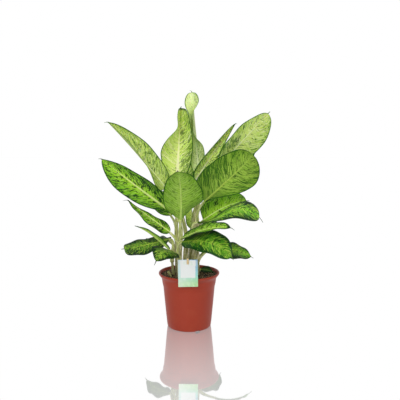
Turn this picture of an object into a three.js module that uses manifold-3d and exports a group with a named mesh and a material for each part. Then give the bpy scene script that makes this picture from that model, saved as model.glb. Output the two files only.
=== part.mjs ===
// A potted dieffenbachia: several canes of one plant in a round plastic grower's pot, with large
// mottled leaves on fleshy stalks, potting soil, and a plain care card on a wooden stake.
// Millimetres, +Z up, origin at the centre of the pot's underside, -Y towards the viewer.
import * as THREE from "three";
import { mergeVertices } from "three/addons/utils/BufferGeometryUtils.js";
import Module from "manifold-3d";

const wasm = await Module();
wasm.setup();

// Driving dimensions

const GAP = 0.3; // clearance between pieces that touch

const MERGE = 1e-3; // points nearer than this are one point

const RIM = 84.5; // the radius of the pot's lip

const POT = {
  // Radius and height along the outside, from the foot to the top of the lip.
  outside: [
    [57.5, 0],
    [60, 1.2],
    [61.8, 6],
    [71.2, 109],
    [71.6, 114],
    [74.2, 124],
    [75.6, 137],
    [78.5, 142],
    [RIM - 1, 148],
    [RIM, 150.5],
    [RIM - 0.8, 153.4],
    [RIM - 3, 154],
  ],
  // The points of the outside that the inside follows at the wall's thickness.
  wallPoints: [2, 7],
  // Radius and height down the inside of the lip.
  lipInside: [
    [RIM - 5, 152.4],
    [77, 145],
  ],
  wall: 1.8,
  floor: 3,
  facets: 40,
  notches: 3,
  notchTurn: 0.45, // how far the first notch is turned from +X, as a share of the notches' spacing
  notchOuter: 63,
  notchInner: 54,
  notchWidth: 13,
  notchHeight: 4.5,
  drainHoles: 6,
  drainRadius: 5,
  drainCircle: 36,
  drainSides: 10,
};

const SOIL = {
  top: 147,
  clearance: 0.7,
  rings: 6,
  facets: 32,
  heave: 2, // the height of the surface's uneven swells
  swells: [0.11, 0.13], // how fast they turn along X and Y, in radians a millimetre
  smallSwells: [0.23, 0.19],
  smallShare: 0.6,
  edgeFade: 4, // the power with which they die out towards the wall
};

const CANE = { buried: 60, sides: 8, segments: 6, halvings: 30 };

// A stalk thins from its root to its end, and leaves and meets them along their own directions
// for a share of its span.
const STALK = { rootRadius: 6, endRadius: 3.4, thinning: 1.3, reach: 0.4, sides: 6, segments: 6 };

const BLADE = {
  thickness: 0.9,
  ribDepth: 3.6, // the midrib stands this far below the blade at its base
  ribTipDepth: 0.3,
  ribThinning: 0.7,
  ribHalfWidth: 2.6,
  ribTipHalfWidth: 0.8,
  ribShare: 0.6, // the midrib takes at most this share of a half
  baseHalfWidth: 3.4,
  baseNarrowing: 0.3,
  spur: 8, // the length of the drip tip past the blade
  spurHalfWidth: 1.6,
  tipHalfWidth: 0.5,
  swell: 0.5, // how fast the outline widens at the base
  taper: 0.72, // how fast it narrows to the tip
  ripples: 17, // the angle that the edge's wave turns through from base to tip, in radians
  rippleHalfWidth: 12, // the wave fades where a half is narrower than this
  flatBend: 1e-6, // the bend of a flat half, in radians a millimetre
  stations: [0, 0.02, 0.08, 0.18, 0.31, 0.46, 0.61, 0.76, 0.88, 0.96, 1],
  columns: 3, // on each side of the midrib
  fineColumns: 5, // for a blade whose edge is rolled
};

const CARD = {
  width: 52,
  height: 73,
  thickness: 0.7,
  bottom: 134.5,
  middle: -1.5,
  tilt: -0.8,
  slotWidth: 6.5,
  slotBelowTop: 9,
};

const STAKE = { width: 5, thickness: 1.3, lean: 20, below: 120, above: 14 };

// Each cane: where it leaves the soil, where its head is, and its radius at both ends.
const CANES = {
  front: { foot: [-25, -30], head: [-25, -32, 250], radius: [8.5, 7] },
  left: { foot: [-43, -8], head: [-50, 0, 205], radius: [4.5, 4] },
  centre: { foot: [-34, 18], head: [-36, 24, 240], radius: [6.5, 5.5] },
  middle: { foot: [-11, 8], head: [-8, 14, 228], radius: [9.5, 8] },
  rear: { foot: [4, 34], head: [7, 42, 225], radius: [8.5, 7.5] },
  right: { foot: [21, -10], head: [21, -6, 310], radius: [9.5, 7.5] },
  stub: { foot: [-49, -30], head: [-57, -31, 163], radius: [4, 3.5] },
};

// Each leaf: the cane that carries it and the height where its stalk parts from it, the base and
// tip of the midrib, the direction that the upper surface faces, and the widths of its left and
// right halves, as seen on the upper surface with the tip up. bow lifts the midrib's two inner
// control points towards the upper side, and sway shifts them to the right. fold is the angle of
// each half above flat, and curlRight the right half's further bend from midrib to edge, in
// degrees, as lists spread evenly from base to tip. wave is the height of the edge's ripples.
// outline overrides BLADE's swell and taper, with a second pair where the right half has its own.
// hook bends the drip tip away.
const LEAVES = {
  leaf_left_middle: {
    cane: "front", from: 205, base: [-42, -40, 324], tip: [-229, -70, 474],
    face: [-0.3, -0.7, 0.65], halves: [44, 32], bow: [-8, -8], fold: [14, 8],
    foldRight: [8, 14, 18, 18], wave: 2, outline: [0.95, 0.68, 0.5, 0.75], hook: [-4, 0, -4],
  },
  leaf_left_upper: {
    cane: "middle", from: 215, base: [-64, 4, 389], tip: [-218, -20, 570],
    face: [0.45, -0.65, 0.55], halves: [42, 42], bow: [2, 2], sway: [4, 4],
    fold: [12, 45, 58, 60], foldRight: [10, 20, 20, 25], curlRight: [0, 0, 40, 100], wave: 1,
    outline: [0.22, 0.72, 0.35, 0.68], hook: [-6, 0, -6],
  },
  leaf_top_centre: {
    cane: "middle", from: 224, base: [-35, 36, 391], tip: [-21, 9, 612],
    face: [0, -1, 0.1], halves: [56, 45], bow: [-6, 4],
    fold: [10, 6, 6, 16, 38, 62, 86, 84, 82], foldRight: [10, 10, 38, 66], wave: 1,
    outline: [0.5, 0.24, 0.4, 0.14], hook: [2, 0, -4],
  },
  leaf_topmost: {
    cane: "right", from: 306, base: [28, 44, 412], tip: [8, 30, 655],
    face: [-0.2, -0.9, 0.1], halves: [31, 33], bow: [-4, 4],
    fold: [15, 20, 30, 50, 72, 76, 70, 32, 20],
    foldRight: [15, 20, 30, 44, 84, 86, 80, 34, 20], wave: 1, outline: [0.5, 0.36],
    hook: [-6, 0, -2],
  },
  leaf_front: {
    cane: "front", from: 240, base: [-21, -50, 308], tip: [-23, -190, 448],
    face: [0, 0.85, 0.5], halves: [58, 48], bow: [16, 34], sway: [-6, -4],
    fold: [56, 34, 12, 6, 4, 4, 4, 4], foldRight: [30, 14, 8, 6, 4, 4, 4, 4], wave: 2,
    outline: [0.38, 0.75],
  },
  leaf_right_large: {
    cane: "right", from: 262, base: [43, -25, 353], tip: [162, -165, 486],
    face: [0.53, 0.78, 0.32], halves: [56, 65], bow: [20, 44], fold: [8, 4], wave: 2,
    outline: [1.35, 0.8, 0.2, 0.53],
  },
  leaf_right_upper: {
    cane: "right", from: 285, base: [80, 40, 440], tip: [221, 15, 595],
    face: [-0.3, -0.8, 0.5], halves: [36, 63], bow: [0, 4], fold: [8, 8], wave: 2,
    outline: [0.6, 0.6, 0.6, 0.5],
  },
  leaf_right_folded: {
    cane: "right", from: 304, base: [18, 12, 406], tip: [130, -10, 567],
    face: [0, -1, 0.1], halves: [32, 30], bow: [0, 4], sway: [-6, -6],
    fold: [35, 62, 74, 74], foldRight: [36, 44, 62, 72], wave: 1,
    outline: [0.5, 0.6, 0.8, 0.9], hook: [2, 0, -8],
  },
  leaf_right_behind: {
    cane: "right", from: 235, base: [39, 12, 297], tip: [166, 0, 353],
    face: [-0.3, -0.6, 0.75], halves: [51, 46], bow: [14, 24], fold: [8, 8], wave: 3,
    outline: [0.15, 0.4, 0.4, 0.4],
  },
  leaf_right_arched: {
    cane: "right", from: 212, base: [24, -30, 298], tip: [194, -70, 310],
    face: [0, -0.45, 0.9], halves: [40, 43], bow: [-10, 84], fold: [6, 0], wave: 1,
    outline: [1.8, 0.32, 1.4, 0.42], hook: [2, 0, -6],
  },
  leaf_right_narrow: {
    cane: "front", from: 195, base: [-20, -56, 257], tip: [116, -112, 296],
    face: [-0.1, -0.35, 0.95], halves: [32, 16], bow: [15, 21], fold: [10, 0], wave: 2,
    outline: [0.7, 0.62, 0.5, 0.6], hook: [2, 0, -5],
  },
  leaf_front_low: {
    cane: "front", from: 170, base: [-17, -66, 251], tip: [116, -130, 217],
    face: [0.1, -0.6, 0.8], halves: [52, 34], bow: [30, 54], fold: [-4, -8], wave: 2,
    outline: [0.5, 0.45],
  },
  leaf_right_far: {
    cane: "right", from: 165, base: [75, 0, 221], tip: [178, -10, 194],
    face: [0, -0.45, 0.9], halves: [27, 42], bow: [14, 16], fold: [4, 4], wave: 2,
    outline: [0.5, 0.7],
  },
  leaf_left_low: {
    cane: "left", from: 180, base: [-56, -6, 247], tip: [-182, -40, 226],
    face: [0, -0.5, 0.85], halves: [34, 28], bow: [-4, -6], fold: [0, -4], wave: 2,
    outline: [0.5, 0.3],
  },
  leaf_left_small: {
    cane: "front", from: 160, base: [-35, -58, 221], tip: [-87, -112, 199],
    face: [-0.1, -0.55, 0.8], halves: [34, 43], bow: [14, 50], fold: [-4, -8], wave: 1,
    outline: [0.5, 0.6, 0.5, 0.6],
  },
  leaf_left_narrow: {
    cane: "front", from: 160, base: [-51, -30, 271], tip: [-165, -55, 365],
    face: [0.2, -0.6, 0.75], halves: [29, 17], bow: [-2, -3], fold: [12, 12],
    wave: 2, outline: [0.5, 0.9, 0.35, 1.7], hook: [-8, 0, -6],
  },
  leaf_left_edge: {
    cane: "left", from: 200, base: [-52, -32, 225], tip: [-143, -52, 292],
    face: [0.5, 0.35, 0.8], halves: [9, 9], bow: [2, 12], fold: [60, 60], wave: 1,
  },
  leaf_in_pot: {
    cane: "right", from: 150, base: [32, -8, 162], tip: [71, -27, 156],
    face: [-0.3, -0.5, 0.85], halves: [14, 9], bow: [6, 8], fold: [0, 0], wave: 1,
  },
  leaf_inner: {
    cane: "middle", from: 200, base: [6, 22, 272], tip: [8, 22, 358],
    face: [-0.4, -0.8, 0.1], halves: [19, 19], bow: [0, 4], fold: [70, 60, 60, 70], wave: 1,
  },
  leaf_back_left: {
    cane: "centre", from: 220, base: [-52, 52, 304], tip: [-165, 155, 372],
    face: [-0.4, 0.2, 0.9], halves: [42, 42], bow: [14, 20], fold: [8, 8], wave: 3,
  },
  leaf_back_right: {
    cane: "rear", from: 215, base: [42, 62, 372], tip: [166, 165, 440],
    face: [-0.3, -0.2, 0.9], halves: [46, 46], bow: [14, 20], fold: [8, 8], wave: 3,
  },
  leaf_back_centre: {
    cane: "centre", from: 232, base: [-32, 64, 372], tip: [-28, 210, 500],
    face: [0, -0.6, 0.8], halves: [44, 44], bow: [10, 16], fold: [8, 8], wave: 3,
  },
  leaf_back_middle: {
    cane: "rear", from: 195, base: [46, 58, 285], tip: [145, 125, 300],
    face: [0, 0.1, 0.9], halves: [34, 34], bow: [16, 24], fold: [4, 0], wave: 3,
  },
  leaf_back_low_left: {
    cane: "centre", from: 165, base: [-58, 48, 232], tip: [-138, 110, 210],
    face: [-0.2, 0.2, 0.9], halves: [30, 30], bow: [14, 18], fold: [4, 0], wave: 3,
  },
  leaf_back_low_right: {
    cane: "rear", from: 165, base: [34, 66, 226], tip: [96, 140, 206],
    face: [0.2, 0.2, 0.9], halves: [32, 32], bow: [14, 18], fold: [4, 0], wave: 3,
  },
};

// Solids and geometries

/** Turns a closed geometry into a manifold solid. */
function toSolid(geometry) {
  const bare = geometry.clone();
  bare.deleteAttribute("normal");
  bare.deleteAttribute("uv");
  const merged = mergeVertices(bare, MERGE);
  return new wasm.Manifold(
    new wasm.Mesh({
      numProp: 3,
      vertProperties: new Float32Array(merged.attributes.position.array),
      triVerts: new Uint32Array(merged.index.array),
    }),
  );
}

/** Turns a manifold solid back into a flat-shaded geometry. */
function toGeometry(solid) {
  const { vertProperties, triVerts } = solid.getMesh();
  const geometry = new THREE.BufferGeometry();
  geometry.setAttribute("position", new THREE.BufferAttribute(vertProperties, 3));
  geometry.setIndex(new THREE.BufferAttribute(triVerts, 1));
  const flat = geometry.toNonIndexed();
  flat.computeVertexNormals();
  return flat;
}

const vector = (point) => new THREE.Vector3(...point);

const degrees = THREE.MathUtils.degToRad;

/** Reads a list of values spread evenly from base to tip, easing between neighbours. */
function along(list, u) {
  const place = u * (list.length - 1);
  const index = Math.min(Math.floor(place), list.length - 2);
  return THREE.MathUtils.lerp(list[index], list[index + 1], place - index);
}

/** A closed round bar along a curve, with its radius given by a function of the place along it. */
function barAlong(curve, radiusAt, sides, segments) {
  const bar = new THREE.CylinderGeometry(1, 1, 1, sides, segments);
  const { normals, binormals } = curve.computeFrenetFrames(segments, false);
  const position = bar.attributes.position;
  const point = new THREE.Vector3();
  for (let i = 0; i < position.count; i++) {
    const share = position.getY(i) + 0.5;
    const frame = Math.round(share * segments);
    const radius = radiusAt(share);
    point
      .copy(curve.getPointAt(share))
      .addScaledVector(normals[frame], -position.getX(i) * radius)
      .addScaledVector(binormals[frame], position.getZ(i) * radius);
    position.setXYZ(i, point.x, point.y, point.z);
  }
  return toSolid(bar);
}

// The pot and the soil

/** Radius and height along the pot's inside, from the top of the lip down to the floor. */
function potInside() {
  const wall = POT.outside.slice(...POT.wallPoints).map(([radius, z]) => [radius - POT.wall, z]);
  const corner = [wall[0][0] - POT.wall, POT.floor];
  return [...POT.lipInside, ...wall.reverse(), corner];
}

/** A solid turned about the Z axis from a profile of radii and heights. */
function turn(profile, facets) {
  const points = profile.map(([radius, z]) => new THREE.Vector2(radius, z));
  return new THREE.LatheGeometry(points, facets).rotateX(Math.PI / 2);
}

/** The pot: a tapered wall with a collar and a flared lip, and drain holes and notches below. */
function makePot() {
  const { notchOuter, notchInner, notchWidth, notchHeight, floor } = POT;
  const profile = [[0, 0], ...POT.outside, ...potInside(), [0, floor]];
  let pot = toSolid(turn(profile, POT.facets));
  for (let i = 0; i < POT.notches; i++) {
    const notch = new THREE.BoxGeometry(notchOuter - notchInner, notchWidth, notchHeight * 2)
      .translate((notchOuter + notchInner) / 2, 0, 0)
      .rotateZ(((i + POT.notchTurn) / POT.notches) * 2 * Math.PI);
    pot = pot.subtract(toSolid(notch));
  }
  for (let i = 0; i < POT.drainHoles; i++) {
    const angle = (i / POT.drainHoles) * 2 * Math.PI;
    const { drainRadius, drainCircle, drainSides } = POT;
    const hole = new THREE.CylinderGeometry(drainRadius, drainRadius, floor * 4, drainSides)
      .rotateX(Math.PI / 2)
      .translate(drainCircle * Math.cos(angle), drainCircle * Math.sin(angle), 0);
    pot = pot.subtract(toSolid(hole));
  }
  return pot;
}

/** The height of the soil's uneven surface at a point, level at its edge. */
function soilHeight(x, y, edge) {
  const { top, heave, swells, smallSwells, smallShare, edgeFade } = SOIL;
  const large = Math.sin(x * swells[0] + 1) * Math.cos(y * swells[1]);
  const small = Math.sin(x * smallSwells[0] - y * smallSwells[1]);
  const fade = 1 - Math.min(1, Math.hypot(x, y) / edge) ** edgeFade;
  return top + heave * (large + smallShare * small) * fade;
}

/** The soil fills the pot to just below its lip, with a plain hole for each piece in it. */
function makeSoil(buried) {
  const [, ...wall] = potInside();
  const side = wall.reverse().map(([radius, z]) => [radius - SOIL.clearance, z]);
  side[0][1] += GAP;
  const edge = side.at(-1)[0];
  const top = [];
  for (let ring = SOIL.rings; ring >= 0; ring--) {
    top.push([(edge * ring) / SOIL.rings, SOIL.top]);
  }
  const soil = turn([[0, POT.floor + GAP], ...side, ...top], SOIL.facets);
  const position = soil.attributes.position;
  for (let i = 0; i < position.count; i++) {
    if (position.getZ(i) > SOIL.top - 1) {
      position.setZ(i, soilHeight(position.getX(i), position.getY(i), edge));
    }
  }
  return buried.reduce((rest, piece) => rest.subtract(piece), toSolid(soil));
}

// The plant

/** The centre line of a cane, from its buried foot to its head. */
function caneCurve({ foot, head }) {
  const low = new THREE.Vector3(foot[0], foot[1], SOIL.top - CANE.buried);
  const soil = new THREE.Vector3(foot[0], foot[1], SOIL.top);
  return new THREE.CatmullRomCurve3([low, soil, vector(head)]);
}

/** A cane, thinning upwards, grown by some extra radius where asked. */
function makeCane(cane, extra = 0) {
  const radiusAt = (share) => THREE.MathUtils.lerp(...cane.radius, share) + extra;
  return barAlong(caneCurve(cane), radiusAt, CANE.sides, CANE.segments);
}

/** The point of a cane's centre line at a height, and the cane's direction there. */
function placeOnCane(cane, height) {
  const curve = caneCurve(cane);
  let low = 0;
  let high = 1;
  for (let i = 0; i < CANE.halvings; i++) {
    const middle = (low + high) / 2;
    if (curve.getPointAt(middle).z < height) low = middle;
    else high = middle;
  }
  return { point: curve.getPointAt(low), direction: curve.getTangentAt(low) };
}

/** The midrib of a leaf as a curve. */
function midribCurve(leaf) {
  const base = vector(leaf.base);
  const chord = vector(leaf.tip).sub(base);
  const direction = chord.clone().normalize();
  const face = vector(leaf.face);
  face.addScaledVector(direction, -face.dot(direction)).normalize();
  const side = new THREE.Vector3().crossVectors(direction, face);
  const sway = leaf.sway ?? [0, 0];
  const inner = leaf.bow.map((bow, i) =>
    base
      .clone()
      .addScaledVector(chord, (i + 1) / 3)
      .addScaledVector(face, bow)
      .addScaledVector(side, sway[i]),
  );
  return new THREE.CubicBezierCurve3(base, ...inner, vector(leaf.tip));
}

/** The half width at a share of the blade's length, on the left (-1) or the right (1). */
function halfWidth(leaf, share, outward) {
  const outline = leaf.outline ?? [BLADE.swell, BLADE.taper];
  const [swell, taper] = outward > 0 ? outline.slice(-2) : outline;
  const greatest = leaf.halves[outward > 0 ? 1 : 0];
  const shape = (t) => t ** swell * (1 - t) ** taper;
  const blade = (greatest * shape(share)) / shape(swell / (swell + taper));
  const neck = share ** BLADE.baseNarrowing;
  return Math.max(blade, THREE.MathUtils.lerp(BLADE.baseHalfWidth, BLADE.spurHalfWidth, neck));
}

/** The midrib's point and frame at a place along it: tangent, side to the right, upward normal. */
function midribFrame(leaf, curve, u) {
  const tangent = curve.getTangent(u);
  const face = vector(leaf.face);
  const normal = face.addScaledVector(tangent, -face.dot(tangent)).normalize();
  const side = new THREE.Vector3().crossVectors(tangent, normal);
  return { point: curve.getPoint(u), tangent, side, normal };
}

/** The upper surface of a blade at a place along the midrib and a distance across it. */
function bladePoint(leaf, frame, u, half, across) {
  const outward = Math.sign(across);
  const distance = Math.abs(across);
  const isRight = outward > 0;
  const fold = degrees(along((isRight && leaf.foldRight) || leaf.fold, u));
  const curl = degrees(along((isRight && leaf.curlRight) || [0, 0], u));
  const bend = curl / half || BLADE.flatBend;
  const angle = fold + bend * distance;
  const reach = (Math.sin(angle) - Math.sin(fold)) / bend;
  const lift = (Math.cos(fold) - Math.cos(angle)) / bend;
  const room = Math.min(1, half / BLADE.rippleHalfWidth);
  const phase = outward + leaf.halves[0];
  const ripple = leaf.wave * room * (distance / half) ** 2 * Math.sin(u * BLADE.ripples + phase);
  const point = frame.point
    .clone()
    .addScaledVector(frame.side, outward * reach)
    .addScaledVector(frame.normal, lift + ripple);
  const up = frame.normal
    .clone()
    .multiplyScalar(outward === 0 ? 1 : Math.cos(angle))
    .addScaledVector(frame.side, -outward * Math.sin(angle));
  return { point, up };
}

/** A leaf blade: a thin closed sheet with its midrib standing out below. */
function makeBlade(leaf) {
  const { lerp } = THREE.MathUtils;
  const curve = midribCurve(leaf);
  const upper = [];
  const lower = [];
  const side = leaf.curlRight ? BLADE.fineColumns : BLADE.columns;
  const columns = 2 * side + 1;
  const rows = BLADE.stations.length + 1;
  const bladeShare = 1 - BLADE.spur / curve.getLength();
  for (let row = 0; row < rows; row++) {
    const isTip = row === rows - 1;
    const share = isTip ? 1 : BLADE.stations[row];
    const u = isTip ? 1 : share * bladeShare;
    const frame = midribFrame(leaf, curve, u);
    if (isTip && leaf.hook) frame.point.add(vector(leaf.hook));
    const ribDepth = lerp(BLADE.ribDepth, BLADE.ribTipDepth, u ** BLADE.ribThinning);
    const ribHalf = lerp(BLADE.ribHalfWidth, BLADE.ribTipHalfWidth, u);
    for (let column = -side; column <= side; column++) {
      const outward = Math.sign(column);
      const half = isTip ? BLADE.tipHalfWidth : halfWidth(leaf, share, outward);
      const rib = Math.min(ribHalf, half * BLADE.ribShare);
      const step = (Math.abs(column) - 1) / (side - 1);
      const across = outward * lerp(rib, half, step);
      const { point, up } = bladePoint(leaf, frame, u, half, across);
      const depth = BLADE.thickness + (column === 0 ? ribDepth : 0);
      upper.push(point);
      lower.push(point.clone().addScaledVector(up, -depth));
    }
  }
  const points = [...upper, ...lower];
  const under = upper.length;
  const triangles = [];
  const quad = (a, b, c, d) => triangles.push(a, b, c, a, c, d);
  for (let row = 0; row < rows - 1; row++) {
    for (let column = 0; column < columns - 1; column++) {
      const a = row * columns + column;
      const [b, c, d] = [a + 1, a + columns + 1, a + columns];
      quad(a, b, c, d);
      triangles.push(under + a, under + c, under + b, under + a, under + d, under + c);
    }
    const left = row * columns;
    const right = left + columns - 1;
    quad(left, left + columns, under + left + columns, under + left);
    quad(right, under + right, under + right + columns, right + columns);
  }
  const last = (rows - 1) * columns;
  for (let column = 0; column < columns - 1; column++) {
    quad(column, under + column, under + column + 1, column + 1);
    const a = last + column;
    quad(a, a + 1, under + a + 1, under + a);
  }
  const geometry = new THREE.BufferGeometry();
  geometry.setAttribute(
    "position",
    new THREE.Float32BufferAttribute(points.flatMap((p) => [p.x, p.y, p.z]), 3),
  );
  geometry.setIndex(triangles);
  return toSolid(geometry);
}

/** A leaf's stalk, from the middle of its cane to just short of the blade. */
function makeStalk(leaf) {
  const { point: root, direction } = placeOnCane(CANES[leaf.cane], leaf.from);
  const { point: base, tangent, normal } = midribFrame(leaf, midribCurve(leaf), 0);
  const end = base
    .clone()
    .addScaledVector(tangent, -GAP)
    .addScaledVector(normal, -(BLADE.thickness + BLADE.ribDepth) / 2);
  const reach = root.distanceTo(end) * STALK.reach;
  const curve = new THREE.CubicBezierCurve3(
    root,
    root.clone().addScaledVector(direction, reach),
    end.clone().addScaledVector(tangent, -reach),
    end,
  );
  const { rootRadius, endRadius, thinning } = STALK;
  const radiusAt = (share) =>
    THREE.MathUtils.lerp(rootRadius, endRadius, Math.min(1, share * thinning));
  return barAlong(curve, radiusAt, STALK.sides, STALK.segments);
}

/** A cane with the stalks of all its leaves, grown together as one body. */
function makeStem(cane, leaves) {
  return leaves.reduce((stem, leaf) => stem.add(makeStalk(leaf)), makeCane(cane));
}

// The care card and its stake

/** Where the stake passes through the card: the middle of the card's slot. */
const SLOT = [
  CARD.middle,
  -(RIM + GAP + CARD.thickness / 2),
  CARD.bottom + CARD.height - CARD.slotBelowTop,
];

/** The stake: a flat wooden slip about the slot, upright, grown by some extra where asked. */
function makeStake(extra = 0) {
  const { width, thickness, below, above } = STAKE;
  const grown = 2 * extra;
  const slip = new THREE.BoxGeometry(width + grown, thickness + grown, below + above + grown);
  return toSolid(slip.translate(0, 0, (above - below) / 2));
}

/** The card about its slot, which is high enough for the leaning stake to pass through. */
function makeCard() {
  const { width, height, thickness, slotWidth, slotBelowTop } = CARD;
  const lean = degrees(STAKE.lean);
  const slotHeight = (STAKE.thickness + 2 * GAP) / Math.sin(lean) + thickness / Math.tan(lean);
  const sheet = new THREE.BoxGeometry(width, thickness, height);
  sheet.translate(0, 0, slotBelowTop - height / 2);
  const slot = new THREE.BoxGeometry(slotWidth, thickness * 4, slotHeight);
  return toSolid(sheet).subtract(toSolid(slot));
}

// The whole part

const FINISH = {
  pot: { color: 0x9c4231, roughness: 0.5 },
  soil: { color: 0x2e2119, roughness: 1 },
  stem: { color: 0xa9b077, roughness: 0.6 },
  leaf: { color: 0x6aa32b, roughness: 0.45 },
  card: { color: 0xd5ecef, roughness: 0.6 },
  stake: { color: 0xc9a878, roughness: 0.8 },
};

/** A named mesh of a solid, moved so that it turns about and stands at a point. */
function place(name, solid, finish, [x, y, z] = [0, 0, 0]) {
  const material = new THREE.MeshStandardMaterial({ metalness: 0, ...FINISH[finish] });
  const mesh = new THREE.Mesh(toGeometry(solid.translate(-x, -y, -z)), material);
  mesh.name = name;
  mesh.position.set(x, y, z);
  return mesh;
}

/** The pot with its soil, which has holes for the canes and the stake. */
function makeFilledPot() {
  const canes = Object.values(CANES).map((cane) => makeCane(cane, GAP));
  const stake = makeStake(GAP).rotate(STAKE.lean, 0, 0).translate(...SLOT);
  const group = new THREE.Group();
  group.add(place("pot", makePot(), "pot"));
  group.add(place("soil", makeSoil([...canes, stake]), "soil"));
  return group;
}

/** One cane with its stalks, and its leaves at the ends of them. */
function makeShoot(name) {
  const leaves = Object.entries(LEAVES).filter(([, leaf]) => leaf.cane === name);
  const group = new THREE.Group();
  const stem = makeStem(CANES[name], leaves.map(([, leaf]) => leaf));
  group.add(place(`stem_${name}`, stem, "stem", [...CANES[name].foot, SOIL.top]));
  for (const [leafName, leaf] of leaves) {
    group.add(place(leafName, makeBlade(leaf), "leaf", leaf.base));
  }
  return group;
}

/** The card hung on its stake at the front of the lip. */
function makeLabel() {
  const card = place("card", makeCard(), "card");
  card.rotation.y = degrees(CARD.tilt);
  const stake = place("stake", makeStake(), "stake");
  stake.rotation.x = degrees(STAKE.lean);
  const group = new THREE.Group();
  group.position.set(...SLOT);
  group.add(card, stake);
  return group;
}

const plant = new THREE.Group();
plant.add(makeFilledPot());
for (const name of Object.keys(CANES)) {
  plant.add(makeShoot(name));
}
plant.add(makeLabel());

export default plant;
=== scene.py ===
"""The looks of a potted dieffenbachia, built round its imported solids.

The tables repeat the driving sizes of the solids, in millimetres. Meshes are in metres, with +Z up,
the origin at the centre of the pot's underside and the viewer at -Y.
"""

import logging
import math
from collections.abc import Callable, Sequence
from dataclasses import dataclass, field, replace
from enum import Enum

import bmesh
import bpy
from mathutils import Matrix, Vector, noise


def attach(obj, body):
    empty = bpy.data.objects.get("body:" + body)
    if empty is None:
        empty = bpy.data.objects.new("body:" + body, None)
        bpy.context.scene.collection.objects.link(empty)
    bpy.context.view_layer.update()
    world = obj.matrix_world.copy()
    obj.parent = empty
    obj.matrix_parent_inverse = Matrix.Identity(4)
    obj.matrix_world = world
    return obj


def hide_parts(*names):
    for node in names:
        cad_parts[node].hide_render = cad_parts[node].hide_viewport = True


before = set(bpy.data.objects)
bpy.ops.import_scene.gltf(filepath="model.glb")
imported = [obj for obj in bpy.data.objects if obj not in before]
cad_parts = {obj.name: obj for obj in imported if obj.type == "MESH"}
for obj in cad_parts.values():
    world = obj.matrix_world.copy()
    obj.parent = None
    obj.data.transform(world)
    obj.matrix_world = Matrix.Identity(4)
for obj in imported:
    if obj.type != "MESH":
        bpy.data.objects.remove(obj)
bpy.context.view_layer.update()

log = logging.getLogger("dieffenbachia")

MM = 0.001
MERGE = 0.001 * MM  # points nearer than this are one
BODY = "root"
SEED_STEP = 7.3  # how far apart two leaves' markings are taken from the noise
UNDER_SEED = 40  # the same for a leaf's two sides
GAP = 0.3  # clearance between pieces that touch
SOIL_TOP = 147
LIP_RADIUS = 84.5

Pair = tuple[float, float]
Band = tuple[float, float]  # the two ends of a smooth step
Point = tuple[float, float, float]
Colour = tuple[float, float, float]
Row = tuple[float, Pair, Vector, Vector, Vector]  # a row of a blade, as Blade.row() gives it
Ring = tuple[Vector, Vector, Vector, float, float]  # centre, two axes, length so far, greenness


# Plain sums


def lerp(low: float, high: float, share: float) -> float:
    """The value at a share of the way from low to high."""
    return low + (high - low) * share


def ease(share: float) -> float:
    """A share of 0 to 1, held there and smoothed at both ends."""
    held = min(1.0, max(0.0, share))
    return held * held * (3 - 2 * held)


def along(values: Sequence[float], share: float) -> float:
    """Reads a list of values that are spread evenly from base to tip.

    Args:
        values: At least two values.
        share: The place between the first and the last, from 0 to 1.

    Returns:
        The value of a smooth curve through them.
    """
    place = min(max(share, 0.0), 1.0) * (len(values) - 1)
    index = min(int(place), len(values) - 2)
    low, high = values[index], values[index + 1]
    before = values[index - 1] if index else 2 * low - high
    after = values[index + 2] if index + 2 < len(values) else 2 * high - low
    t = place - index
    rise, fall = (high - before) / 2, (after - low) / 2
    bend = 3 * (high - low) - 2 * rise - fall
    return low + t * (rise + t * (bend + t * (rise + fall - 2 * (high - low))))


def across_from(direction: Vector, towards: Vector) -> Vector:
    """The unit vector nearest to towards that is square to direction."""
    return (towards - direction * towards.dot(direction)).normalized()


def linear(red: int, green: int, blue: int) -> Colour:
    """Turns a screen colour with channels of 0 to 255 into a linear one, by the standard curve.

    Args:
        red: The red channel.
        green: The green channel.
        blue: The blue channel.

    Returns:
        The linear colour, with channels of 0 to 1.
    """
    return tuple(
        c / 12.92 if c <= 0.04045 else ((c + 0.055) / 1.055) ** 2.4
        for c in (red / 255, green / 255, blue / 255)
    )


@dataclass
class Bend:
    """A cubic curve from one end to the other by way of two inner control points."""

    points: tuple[Vector, Vector, Vector, Vector]
    steps: int = 48
    lengths: list[float] = field(default_factory=list)

    def __post_init__(self) -> None:
        """Measures the curve, so that it can be read by its length."""
        self.lengths = [0.0]
        for step in range(self.steps):
            start, end = self.point(step / self.steps), self.point((step + 1) / self.steps)
            self.lengths.append(self.lengths[-1] + (end - start).length)

    @property
    def length(self) -> float:
        """The curve's whole length."""
        return self.lengths[-1]

    def point(self, t: float) -> Vector:
        """The curve's point.

        Args:
            t: The curve's own parameter, from 0 to 1.

        Returns:
            The point there.
        """
        a, b, c, d = self.points
        s = 1 - t
        return a * s**3 + b * (3 * s * s * t) + c * (3 * s * t * t) + d * t**3

    def tangent(self, t: float) -> Vector:
        """The curve's direction.

        Args:
            t: The curve's own parameter, from 0 to 1.

        Returns:
            The unit vector along the curve there.
        """
        a, b, c, d = self.points
        s = 1 - t
        return ((b - a) * s * s + (c - b) * (2 * s * t) + (d - c) * t * t).normalized()

    def parameter(self, share: float) -> float:
        """Turns a share of the curve's length into its own parameter.

        Args:
            share: The share of the length, from 0 to 1.

        Returns:
            The parameter, from 0 to 1.
        """
        wanted = share * self.length
        step = 0
        while step < self.steps - 1 and self.lengths[step + 1] < wanted:
            step += 1
        span = self.lengths[step + 1] - self.lengths[step]
        return (step + (wanted - self.lengths[step]) / span) / self.steps


# Materials


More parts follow.
